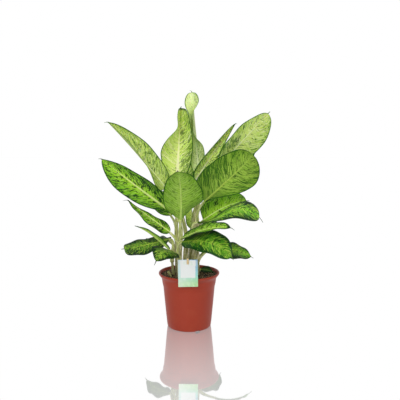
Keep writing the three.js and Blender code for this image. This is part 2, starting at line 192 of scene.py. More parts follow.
def operator(operation: str, swapped: bool = False) -> Callable[["Wire", "Wire | float"], "Wire"]:
    """Makes an operator's method for Wire.

    Args:
        operation: The Math node's operation.
        swapped: Whether the other value comes first.

    Returns:
        The method, which adds a Math node.
    """

    def apply(self: "Wire", other: "Wire | float") -> "Wire":
        """The operation's result."""
        return self.paint.math(operation, *((other, self) if swapped else (self, other)))

    return apply


class Wire:
    """A number that flows between a material's nodes, for use in plain expressions."""

    __add__ = operator("ADD")
    __radd__ = operator("ADD")
    __sub__ = operator("SUBTRACT")
    __rsub__ = operator("SUBTRACT", swapped=True)
    __mul__ = operator("MULTIPLY")
    __rmul__ = operator("MULTIPLY")
    __truediv__ = operator("DIVIDE")
    __rtruediv__ = operator("DIVIDE", swapped=True)
    __pow__ = operator("POWER")
    __rpow__ = operator("POWER", swapped=True)

    def __init__(self, paint: "Paint", socket: bpy.types.NodeSocket) -> None:
        """Wraps an output socket of one of the paint's nodes."""
        self.paint = paint
        self.socket = socket

    def math(self, operation: str, *values: "Wire | float") -> "Wire":
        """A Math node on this wire and the values that follow it."""
        return self.paint.math(operation, self, *values)

    def __abs__(self) -> "Wire":
        """The size without its sign."""
        return self.math("ABSOLUTE")

    def wave(self) -> "Wire":
        """The sine, in radians."""
        return self.math("SINE")

    def step(self, low: "Wire | float", high: "Wire | float") -> "Wire":
        """A smooth step.

        Args:
            low: Where it is still 0.
            high: Where it is 1.

        Returns:
            The step's value.
        """
        inputs = {"Value": self, "From Min": low, "From Max": high, "To Min": 0.0, "To Max": 1.0}
        node = self.paint.node("MapRange", inputs, interpolation_type="SMOOTHSTEP")
        return Wire(self.paint, node.outputs[0])


class Paint:
    """A material, or the world, while its nodes are put together."""

    mix_sockets: tuple[int, int, int] = (0, 6, 7)  # the factor and the two colours of a Mix node
    mix_result: int = 2

    def __init__(self, owner: bpy.types.Material | bpy.types.World) -> None:
        """Starts with no nodes.

        Args:
            owner: The new material or world that the nodes are for.
        """
        self.owner = owner
        owner.use_nodes = True
        owner.node_tree.nodes.clear()

    def node(
        self, kind: str, inputs: dict[int | str, object] | None = None, **settings: object
    ) -> bpy.types.Node:
        """Adds a node.

        Args:
            kind: The node's type, without its first part.
            inputs: A value, wire or socket for each input, by its name or number.
            settings: The node's own settings, set before its sockets.

        Returns:
            The node.
        """
        made = self.owner.node_tree.nodes.new(f"ShaderNode{kind}")
        for name, value in settings.items():
            setattr(made, name, value)
        for key, value in (inputs or {}).items():
            if isinstance(value, Wire):
                value = value.socket
            if isinstance(value, bpy.types.NodeSocket):
                self.owner.node_tree.links.new(value, made.inputs[key])
            else:
                made.inputs[key].default_value = value
        return made

    def math(self, operation: str, *values: Wire | float) -> Wire:
        """A Math node on values and wires."""
        node = self.node("Math", dict(enumerate(values)), operation=operation)
        return Wire(self, node.outputs[0])

    def parts(self, socket: bpy.types.NodeSocket) -> tuple[Wire, Wire, Wire]:
        """The three numbers of a vector."""
        return tuple(Wire(self, part) for part in self.node("SeparateXYZ", {0: socket}).outputs)

    def vector(self, *values: Wire | float) -> bpy.types.NodeSocket:
        """A vector of three numbers."""
        return self.node("CombineXYZ", dict(enumerate(values))).outputs[0]

    def attribute(self, name: str) -> bpy.types.NodeSocket:
        """The vector that the mesh carries under a name."""
        return self.node("Attribute", attribute_name=name).outputs["Vector"]

    def place(self) -> bpy.types.NodeSocket:
        """The point on the piece, in metres."""
        return self.node("TexCoord").outputs["Object"]

    def bounced(self) -> bpy.types.NodeSocket:
        """1 for the light that a matt surface gathers, and 0 for what the camera sees."""
        return self.node("LightPath").outputs["Is Diffuse Ray"]

    def noise(
        self, vector: bpy.types.NodeSocket, scale: float, detail: float = 2.0, rough: float = 0.5
    ) -> Wire:
        """A cloudy pattern of values about a half."""
        inputs = {"Vector": vector, "Scale": scale, "Detail": detail, "Roughness": rough}
        return Wire(self, self.node("TexNoise", inputs).outputs[0])

    def mix(self, share: Wire | float, low: object, high: object) -> bpy.types.NodeSocket:
        """Mixes two colours.

        Args:
            share: How much of the second colour there is, from 0 to 1.
            low: The first colour, plain or a socket.
            high: The second.

        Returns:
            The mixed colour's socket.
        """
        ends = [(*c, 1.0) if isinstance(c, tuple) else c for c in (low, high)]
        inputs = dict(zip(self.mix_sockets, (share, *ends)))
        node = self.node("Mix", inputs, data_type="RGBA", clamp_factor=True)
        return node.outputs[self.mix_result]

    def layers(self, ground: object, *layers: tuple[object, object]) -> object:
        """Lays colours over a ground.

        Args:
            ground: The colour below, plain or a socket.
            layers: Each layer's share and colour, from the lowest up.

        Returns:
            The last colour's socket.
        """
        for share, colour in layers:
            ground = self.mix(share, ground, colour)
        return ground

    def bump(self, height: Wire, strength: float, depth: float) -> bpy.types.NodeSocket:
        """A normal roughened by a height of 0 to 1 that stands for a depth in metres."""
        inputs = {"Strength": strength, "Distance": depth, "Height": height}
        return self.node("Bump", inputs).outputs[0]

    def surface(
        self,
        colour: bpy.types.NodeSocket,
        roughness: Wire | float,
        normal: bpy.types.NodeSocket,
        gloss: float = 0.5,
        **others: object,
    ) -> bpy.types.Material:
        """Ends the material with its shader.

        Args:
            colour: The base colour.
            roughness: The roughness.
            normal: The normal.
            gloss: How strongly it shines.
            others: More inputs of the shader, with _ for each space in a name.

        Returns:
            The finished material.
        """
        inputs = {"Base Color": colour, "Roughness": roughness, "Normal": normal}
        inputs |= {"Specular IOR Level": gloss}
        inputs |= {name.replace("_", " "): value for name, value in others.items()}
        shader = self.node("BsdfPrincipled", inputs)
        self.node("OutputMaterial", {"Surface": shader.outputs[0]})
        return self.owner


# Pieces


def add_object(name: str, data: bpy.types.ID) -> bpy.types.Object:
    """Puts a mesh, a light or a camera into the scene.

    Args:
        name: The object's name.
        data: Its mesh, light or camera.

    Returns:
        The object.
    """
    thing = bpy.data.objects.new(name, data)
    bpy.context.scene.collection.objects.link(thing)
    return thing


def to_data(mesh: bmesh.types.BMesh, name: str) -> bpy.types.Mesh:
    """Turns a bmesh into mesh data.

    Args:
        mesh: The bmesh, which is freed.
        name: The data's name.

    Returns:
        The data.
    """
    data = bpy.data.meshes.new(name)
    mesh.to_mesh(data)
    mesh.free()
    return data


def face_out(mesh: bmesh.types.BMesh) -> None:
    """Turns the faces of a closed mesh outwards."""
    if mesh.calc_volume(signed=True) < 0:
        bmesh.ops.reverse_faces(mesh, faces=mesh.faces)


def smooth(mesh: bmesh.types.BMesh) -> None:
    """Shades every face of a mesh smooth."""
    for face in mesh.faces:
        face.smooth = True


def add_piece(
    mesh: bmesh.types.BMesh,
    name: str,
    materials: Sequence[bpy.types.Material],
    replaced: Sequence[str] = (),
) -> bpy.types.Object:
    """Turns a finished bmesh into a piece that rides on the plant.

    Args:
        mesh: The shape, in metres, which is freed.
        name: The piece's name.
        materials: Its materials, in the order of the faces' indices.
        replaced: The nodes of the solids that it stands for.

    Returns:
        The piece.
    """
    face_out(mesh)
    data = to_data(mesh, name)
    for material in materials:
        data.materials.append(material)
    piece = add_object(name, data)
    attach(piece, BODY)
    if replaced:
        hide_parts(*replaced)
    log.info("%s: %d faces", name, len(data.polygons))
    return piece


def round_corners(profile: Sequence[Pair], times: int) -> list[Pair]:
    """Cuts the corners of an open line, so that it reads as a curve.

    Args:
        profile: The line's points.
        times: How often each corner is cut.

    Returns:
        The points of the rounded line.
    """
    line = list(profile)
    for _ in range(times):
        cut = [line[0]]
        for (x0, y0), (x1, y1) in zip(line, line[1:]):
            cut += [(lerp(x0, x1, share), lerp(y0, y1, share)) for share in (0.25, 0.75)]
        line = [*cut, line[-1]]
    return line


def spin_profile(profile: Sequence[Pair], steps: int) -> bmesh.types.BMesh:
    """Turns a line of radii and heights about the Z axis into a closed shape.

    Args:
        profile: Radii and heights in millimetres, which start and end on the axis.
        steps: The number of facets round.

    Returns:
        The shape, in metres.
    """
    mesh = bmesh.new()
    line = [mesh.verts.new((radius * MM, 0, z * MM)) for radius, z in profile]
    edges = [mesh.edges.new(pair) for pair in zip(line, line[1:])]
    turn = {"cent": (0, 0, 0), "axis": (0, 0, 1), "angle": math.tau, "steps": steps}
    bmesh.ops.spin(mesh, geom=line + edges, use_merge=True, **turn)
    bmesh.ops.remove_doubles(mesh, verts=mesh.verts, dist=MERGE)
    bmesh.ops.recalc_face_normals(mesh, faces=mesh.faces)
    return mesh


def bevel(
    mesh: bmesh.types.BMesh, edges: Sequence[bmesh.types.BMEdge], offset: float, segments: int
) -> None:
    """Rounds some edges of a mesh by an offset in its own units."""
    shape = {"profile": 0.5, "affect": "EDGES", "material": -1}
    bmesh.ops.bevel(mesh, geom=edges, offset=offset, segments=segments, **shape)


def cut_out(piece: bpy.types.Object, cutter: bmesh.types.BMesh) -> None:
    """Cuts a shape out of a piece.

    Args:
        piece: The piece, whose mesh is changed.
        cutter: The shape to take away, which is freed.
    """
    tool = add_object("cutter", to_data(cutter, "cutter"))
    modifier = piece.modifiers.new("cut", "BOOLEAN")
    modifier.operation = "DIFFERENCE"
    modifier.solver = "EXACT"
    modifier.object = tool
    graph = bpy.context.evaluated_depsgraph_get()
    cut = bpy.data.meshes.new_from_object(piece.evaluated_get(graph))
    piece.modifiers.clear()
    piece.data = cut
    bpy.data.objects.remove(tool)


def soften(piece: bpy.types.Object, sharp_degrees: float) -> None:
    """Shades a piece smooth, but for edges that are sharper than an angle."""
    piece.data.shade_smooth()
    piece.data.set_sharp_from_angle(angle=math.radians(sharp_degrees))


# The pot


@dataclass(frozen=True)
class PotPlastic:
    """Thin brick-red moulded plastic, a little dusty, with lighter patches near the foot that are
    partly scuffs and partly a painted reflection.
    """

    red: Colour = linear(150, 50, 28)
    dusty: Colour = linear(154, 62, 38)
    # the lighter orange near the foot: partly scuffs, partly a painted reflection
    scuff_and_reflection: Colour = linear(178, 76, 40)
    cloud_scale: float = 28
    grain_scale: float = 900
    scuff_and_reflection_streak_scale: float = 160
    scuff_and_reflection_stretch: Point = (1, 1, 0.16)
    dust_band: Band = (0.45, 0.7)
    dust: float = 0.35
    scuff_and_reflection_heights: Band = (0.004, 0.036)  # metres
    scuff_and_reflection_streak_band: Band = (0.6, 0.7)
    scuff_and_reflection_band: Band = (0.5, 0.62)
    scuff_and_reflection_share: float = 0.6
    roughness: float = 0.45
    cloud_roughness: float = 0.25
    scuff_roughness: float = 0.15
    bump: Pair = (0.25, 0.0004)  # strength, and depth in metres
    bump_shares: Pair = (0.6, 0.8)  # of the grain and of the clouds
    gloss: float = 0.25

    def make(self) -> bpy.types.Material:
        """Puts the plastic together.

        Returns:
            The material.
        """
        paint = Paint(bpy.data.materials.new("pot_plastic"))
        place = paint.place()
        _, _, height = paint.parts(place)
        cloud = paint.noise(place, self.cloud_scale, 4)
        grain = paint.noise(place, self.grain_scale)
        stretched = paint.node("Mapping", {"Vector": place, "Scale": self.scuff_and_reflection_stretch})
        scuff_and_reflection_streaks = paint.noise(stretched.outputs[0], self.scuff_and_reflection_streak_scale, 3)
        # lighter streaky patches low on the pot, partly scuffs and partly a painted reflection
        low = 1 - height.step(*self.scuff_and_reflection_heights)
        scuff_and_reflection_mask = scuff_and_reflection_streaks.step(*self.scuff_and_reflection_streak_band) * low * cloud.step(*self.scuff_and_reflection_band)
        colour = paint.layers(
            self.red,
            (cloud.step(*self.dust_band) * self.dust, self.dusty),
            (scuff_and_reflection_mask * self.scuff_and_reflection_share, self.scuff_and_reflection),
        )
        roughness = self.roughness + (cloud - 0.5) * self.cloud_roughness
        roughness = roughness + scuff_and_reflection_mask * self.scuff_roughness
        relief = grain * self.bump_shares[0] + cloud * self.bump_shares[1]
        normal = paint.bump(relief, *self.bump)
        return paint.surface(colour, roughness, normal, self.gloss)


@dataclass
class Pot:
    """The round grower's pot: a tapered wall, a collar and a flared, rolled lip."""

    outside: tuple[Pair, ...] = (
        (57.5, 0), (60, 1.2), (61.8, 6), (71.2, 109), (71.6, 114), (74.2, 124), (75.6, 137),
        (78.5, 142), (83.5, 148), (84.5, 150.5), (83.7, 153.4), (81.5, 154),
    )
    wall_points: tuple[int, int] = (2, 7)  # the part of outside that the inner wall follows
    lip_inside: tuple[Pair, ...] = ((79.5, 152.4), (77, 145))
    wall: float = 1.8
    floor: float = 3
    facets: int = 144
    notches: int = 3
    notch_turn: float = 0.45  # how far the first notch is turned, as a share of their spacing
    notch_radius: float = 58.5
    notch_size: Point = (9, 13, 9)
    notch_bevel: float = 1.2
    notch_segments: int = 3
    drain_holes: int = 6
    drain_radius: float = 5
    drain_circle: float = 36
    drain_facets: int = 24
    drain_reach: float = 4  # how long their cutter is, in thicknesses of the floor
    corner_cuts: int = 2
    sharp_degrees: float = 40

    def inside(self) -> list[Pair]:
        """The inside's line.

        Returns:
            Radii and heights from the top of the lip down to the floor, in millimetres.
        """
        first, last = self.wall_points
        wall = [(radius - self.wall, z) for radius, z in self.outside[first:last]]
        corner = (wall[0][0] - self.wall, self.floor)
        return [*self.lip_inside, *reversed(wall), corner]

    def cutters(self) -> bmesh.types.BMesh:
        """The notches at the foot and the drain holes in the floor.

        Returns:
            One shape to cut them with, in metres.
        """
        mesh = bmesh.new()
        size = Matrix.Diagonal((*(side * MM for side in self.notch_size), 1))
        for index in range(self.notches):
            place = self.place((index + self.notch_turn) / self.notches, self.notch_radius)
            made = bmesh.ops.create_cube(mesh, size=1, matrix=place @ size)
            edges = {edge for vert in made["verts"] for edge in vert.link_edges}
            bevel(mesh, list(edges), self.notch_bevel * MM, self.notch_segments)
        radius = self.drain_radius * MM
        size = {"radius1": radius, "radius2": radius, "depth": self.floor * self.drain_reach * MM}
        for index in range(self.drain_holes):
            place = self.place(index / self.drain_holes, self.drain_circle)
            bmesh.ops.create_cone(
                mesh, cap_ends=True, segments=self.drain_facets, matrix=place, **size
            )
        return mesh

    def place(self, turn: float, radius: float) -> Matrix:
        """The place at a share of a turn round the axis, and at a radius from it."""
        out = Matrix.Translation((radius * MM, 0, 0))
        return Matrix.Rotation(turn * math.tau, 4, "Z") @ out

    def build(self, plastic: PotPlastic) -> None:
        """Makes the pot.

        Args:
            plastic: Its finish.
        """
        line = round_corners([*self.outside, *self.inside()], self.corner_cuts)
        mesh = spin_profile([(0, 0), *line, (0, self.floor)], self.facets)
        piece = add_piece(mesh, "pot_shell", [plastic.make()], ["pot"])
        cut_out(piece, self.cutters())
        soften(piece, self.sharp_degrees)


# The soil


@dataclass(frozen=True)
class SoilEarth:
    """Dark, moist potting mix with brown fibres and a few pale grains."""

    black: Colour = linear(16, 12, 8)
    brown: Colour = linear(108, 84, 58)
    fibre: Colour = linear(198, 170, 128)
    lump_scale: float = 140
    fibre_scale: float = 420
    lump_band: Band = (0.48, 0.62)
    fibre_band: Band = (0.53, 0.62)
    fibres: float = 0.85
    roughness: float = 0.8
    lump_roughness: float = 0.2
    bump: Pair = (0.9, 0.0016)  # strength, and depth in metres
    bump_shares: Pair = (0.7, 0.3)  # of the lumps and of the fibres
    gloss: float = 0.3

    def make(self) -> bpy.types.Material:
        """Puts the potting mix together.

        Returns:
            The material.
        """
        paint = Paint(bpy.data.materials.new("potting_mix"))
        place = paint.place()
        lumps = paint.noise(place, self.lump_scale, 5, 0.65)
        fibres = paint.noise(place, self.fibre_scale, 3, 0.6)
        colour = paint.layers(
            self.black,
            (lumps.step(*self.lump_band), self.brown),
            (fibres.step(*self.fibre_band) * self.fibres, self.fibre),
        )
        roughness = self.roughness + lumps * self.lump_roughness
        relief = lumps * self.bump_shares[0] + fibres * self.bump_shares[1]
        normal = paint.bump(relief, *self.bump)
        return paint.surface(colour, roughness, normal, self.gloss)


@dataclass
class Soil:
    """The potting mix that fills the pot, with loose crumbs on top."""

    pot: Pot
    clearance: float = 0.7
    rings: int = 46
    facets: int = 176
    heave: float = 2
    swells: Pair = (0.11, 0.13)
    small_swells: Pair = (0.23, 0.19)
    small_share: float = 0.6
    edge_fade: float = 4
    lumpiness: float = 1.5
    lump_scale: float = 0.19
    lump_fractal: tuple[float, float, int] = (0.8, 2.0, 3)  # roughness, spacing and octaves
    crumbs: int = 620
    crumb_radius: Pair = (0.9, 2.9)
    crumb_rarity: float = 2.2  # how much rarer the large crumbs are
    crumb_lift: float = 0.3
    crumb_breadth: Pair = (0.45, 1)
    crumb_flatness: float = 0.6
    crumb_dents: Pair = (1.7, 0.35)  # how fine and how deep
    seed: int = 11

    def side(self) -> list[Pair]:
        """The line up the side, just inside the pot.

        Returns:
            Radii and heights from the foot to the surface, in millimetres.
        """
        line = [(radius - self.clearance, z) for radius, z in reversed(self.pot.inside()[1:])]
        foot = (line[0][0], line[0][1] + GAP)
        return [foot, *line[1:-1], (line[-1][0], SOIL_TOP)]

    def height(self, x: float, y: float, edge: float) -> float:
        """The height of the uneven surface, which is level at its edge.

        Args:
            x: The place to the right, in millimetres.
            y: The place to the back.
            edge: The radius of the surface.

        Returns:
            The height in millimetres.
        """
        large = math.sin(x * self.swells[0] + 1) * math.cos(y * self.swells[1])
        small = math.sin(x * self.small_swells[0] - y * self.small_swells[1])
        fade = 1 - min(1, math.hypot(x, y) / edge) ** self.edge_fade
        lump = noise.fractal(Vector((x, y, 0)) * self.lump_scale, *self.lump_fractal)
        swell = self.heave * (large + self.small_share * small)
        return SOIL_TOP + (swell + self.lumpiness * lump) * fade

    def build(self, earth: SoilEarth) -> None:
        """Makes the body of the soil and its crumbs.

        Args:
            earth: Their finish.
        """
        side = self.side()
        edge = side[-1][0]
        top = [(edge * ring / self.rings, SOIL_TOP) for ring in range(self.rings - 1, -1, -1)]
        mesh = spin_profile([(0, side[0][1]), *side, *top], self.facets)
        for vert in mesh.verts:
            if vert.co.z > (SOIL_TOP - 1) * MM:
                vert.co.z = self.height(vert.co.x / MM, vert.co.y / MM, edge) * MM
        smooth(mesh)
        material = earth.make()
        add_piece(mesh, "soil_body", [material], ["soil"])
        self.build_crumbs(edge, material)

    def build_crumbs(self, edge: float, material: bpy.types.Material) -> None:
        """Scatters loose crumbs of the mix over the surface.

        Args:
            edge: The radius of the surface, in millimetres.
            material: The crumbs' material.
        """
        mesh = bmesh.new()
        noise.seed_set(self.seed)
        fineness, depth = self.crumb_dents
        for _ in range(self.crumbs):
            radius = lerp(*self.crumb_radius, noise.random() ** self.crumb_rarity)
            far = (edge - radius) * math.sqrt(noise.random())
            angle = noise.random() * math.tau
            x, y = far * math.cos(angle), far * math.sin(angle)
            spot = Vector((x, y, self.height(x, y, edge) + radius * self.crumb_lift))
            turn = Matrix.Rotation(noise.random() * math.tau, 4, noise.random_unit_vector())
            breadth = lerp(*self.crumb_breadth, noise.random())
            shape = Matrix.Diagonal((1, breadth, self.crumb_flatness, 1))
            ball = {"radius": radius * MM, "matrix": Matrix.Translation(spot * MM) @ turn @ shape}
            made = bmesh.ops.create_icosphere(mesh, subdivisions=1, **ball)
            for vert in made["verts"]:
                vert.co += noise.noise_vector(vert.co / MM * fineness) * radius * depth * MM
        add_piece(mesh, "soil_crumbs", [material])


# The canes and their stalks


@dataclass(frozen=True)
class StemSkin:
    """Pale green skin with fine streaks, beige and ringed on an old cane, greener on a stalk."""

    cane: Colour = linear(214, 206, 138)
    cane_dark: Colour = linear(66, 72, 18)
    stalk: Colour = linear(208, 218, 124)
    stalk_dark: Colour = linear(70, 108, 18)
    cream: Colour = linear(240, 232, 192)
    ring: Colour = linear(110, 100, 46)
    rings: float = 0.35
    streak_scale: float = 5
    streak_spacing: float = 6
    streak_band: Band = (0.47, 0.58)
    streaks: float = 0.9
    cloud_scale: float = 1.6
    cloud_spacing: float = 30
    cloud_band: Band = (0.5, 0.6)
    clouds: float = 0.7
    foot_lengths: Band = (0.06, 0.16)  # metres from the buried end
    # painted shade: how much darker a cane is towards the soil
    foot_shade: float = 0.35
    shade: float = 0.0  # how much more of the skin is dark, as on a cane in the others' shade
    shaded_clouds: float = 5  # how much faster the pale clouds fade with the shade
    roughness: float = 0.5
    streak_roughness: float = 0.1
    bump: Pair = (0.35, 0.0006)  # strength, and depth in metres
    gloss: float = 0.4

    def make(self, name: str) -> bpy.types.Material:
        """Puts a stem's skin together.

        Args:
            name: The material's name.

        Returns:
            The material, which reads how near a scar is, the length so far and the greenness as
            "grain", and the direction from the stem's middle as "round".
        """
        paint = Paint(bpy.data.materials.new(name))
        scar, length, green = paint.parts(paint.attribute("grain"))
        east, north, _ = paint.parts(paint.attribute("round"))
        lines = paint.vector(east, north, length * self.streak_spacing)
        streaks = paint.noise(lines, self.streak_scale, 4, 0.6)
        patches = paint.vector(east, north, length * self.cloud_spacing)
        clouds = paint.noise(patches, self.cloud_scale, 3)
        pale = paint.mix(green, self.cane, self.stalk)
        dark = paint.mix(green, self.cane_dark, self.stalk_dark)
        streak_band = (end - self.shade for end in self.streak_band)
        cloudy = self.clouds - self.shade * self.shaded_clouds
        # painted shade that darkens the canes towards the soil
        foot = (1 - length.step(*self.foot_lengths)) * (1 - green) * self.foot_shade
        colour = paint.layers(
            pale,
            (streaks.step(*streak_band) * self.streaks, dark),
            (clouds.step(*self.cloud_band) * cloudy, self.cream),
            (foot, dark),
            (scar * self.rings, self.ring),
        )
        roughness = self.roughness + streaks * self.streak_roughness
        normal = paint.bump(streaks, *self.bump)
        return paint.surface(colour, roughness, normal, self.gloss)


@dataclass(frozen=True)
class Cane:
    """One cane: where it leaves the soil, where its head is, and its radius at both ends."""

    foot: Pair
    head: Point
    radius: Pair
    buried: float = 60
    halvings: int = 24  # how often place() halves its search

    def curve(self) -> Bend:
        """The centre line above the soil.

        Returns:
            The curve, which leaves the soil the way a line from the buried end would.
        """
        soil = Vector((*self.foot, SOIL_TOP))
        low = soil - Vector((0, 0, self.buried))
        head = Vector(self.head)
        near, far = math.sqrt(self.buried), math.sqrt((head - soil).length)
        start = ((soil - low) / near - (head - low) / (near + far) + (head - soil) / far) * far
        end = head - soil
        return Bend((soil, soil + start / 3, head - end / 3, head))

    def place(self, height: float) -> tuple[Vector, Vector]:
        """Finds a height on the centre line.

        Args:
            height: The height in millimetres.

        Returns:
            The line's point there, and its direction.
        """
        curve = self.curve()
        low, high = 0.0, 1.0
        for _ in range(self.halvings):
            middle = (low + high) / 2
            if curve.point(middle).z < height:
                low = middle
            else:
                high = middle
        return curve.point(low), curve.tangent(low)


CANES: dict[str, Cane] = {
    "front": Cane((-25, -30), (-25, -32, 250), (8.5, 7)),
    "left": Cane((-43, -8), (-50, 0, 205), (4.5, 4)),
    "centre": Cane((-34, 18), (-36, 24, 240), (6.5, 5.5)),
    "middle": Cane((-11, 8), (-8, 14, 228), (9.5, 8)),
    "rear": Cane((4, 34), (7, 42, 225), (8.5, 7.5)),
    "right": Cane((21, -10), (21, -6, 310), (9.5, 7.5)),
    "stub": Cane((-49, -30), (-57, -31, 163), (4, 3.5)),
}


# The leaves

VEINS = 24  # side veins on each half of a blade
VEIN_LEAN = 0.2  # how far they lean towards the tip, as a share of the blade's length
VEIN_STRAIGHT = 0.45  # how much of that lean is even from midrib to margin


def vein_root(length: Wire | float, out: Wire | float) -> Wire | float:
    """Where the vein through a place leaves the midrib, for numbers and wires alike.

    Args:
        length: The place's share of the blade's length.
        out: Its share of the half width.

    Returns:
        The share of the length at the vein's root.
    """
    lean = out * VEIN_STRAIGHT + out * out * (1 - VEIN_STRAIGHT)
    return length - lean * VEIN_LEAN


class Age(Enum):
    """How old a leaf is, which sets how dark it is and how much it is marked; the last stands
    instead for a leaf low in the pot, painted dark as painted shade.
    """

    NEWEST = "newest"
    YOUNG = "young"
    GROWN = "grown"
    OLD = "old"
    # a leaf dark green all over: painted shade for a leaf low in the pot
    IN_SHADE = "dark"


@dataclass(frozen=True)
class Leaf:
    """One leaf, with the fields of the solids' table and its looks.

    cane and start name the cane and the height where the stalk parts from it. base and tip are the
    midrib's ends, face is where the upper side looks, and halves are the widths of the left and
    right halves. bow and sway shift the midrib's inner control points up and to the right. fold is
    the angle of each half above flat and curl_right the right half's further bend. wave is the
    height of the edge's ripples, outline how fast it widens and narrows, and hook bends the tip.
    """

    cane: str
    start: float
    base: Point
    tip: Point
    face: Point
    halves: Pair
    bow: Pair
    fold: tuple[float, ...]
    wave: float
    age: Age
    sway: Pair = (0, 0)
    fold_right: tuple[float, ...] | None = None
    curl_right: tuple[float, ...] | None = None
    outline: tuple[float, ...] = (0.5, 0.72)
    hook: Point = (0, 0, 0)

    def midrib(self) -> Bend:
        """The middle line of the blade.

        Returns:
            The curve from base to tip, in millimetres.
        """
        base, tip = Vector(self.base), Vector(self.tip)
        chord = tip - base
        face = across_from(chord.normalized(), Vector(self.face))
        side = chord.normalized().cross(face)
        inner = [
            base + chord * ((i + 1) / 3) + face * self.bow[i] + side * self.sway[i]
            for i in range(2)
        ]
        return Bend((base, inner[0], inner[1], tip))


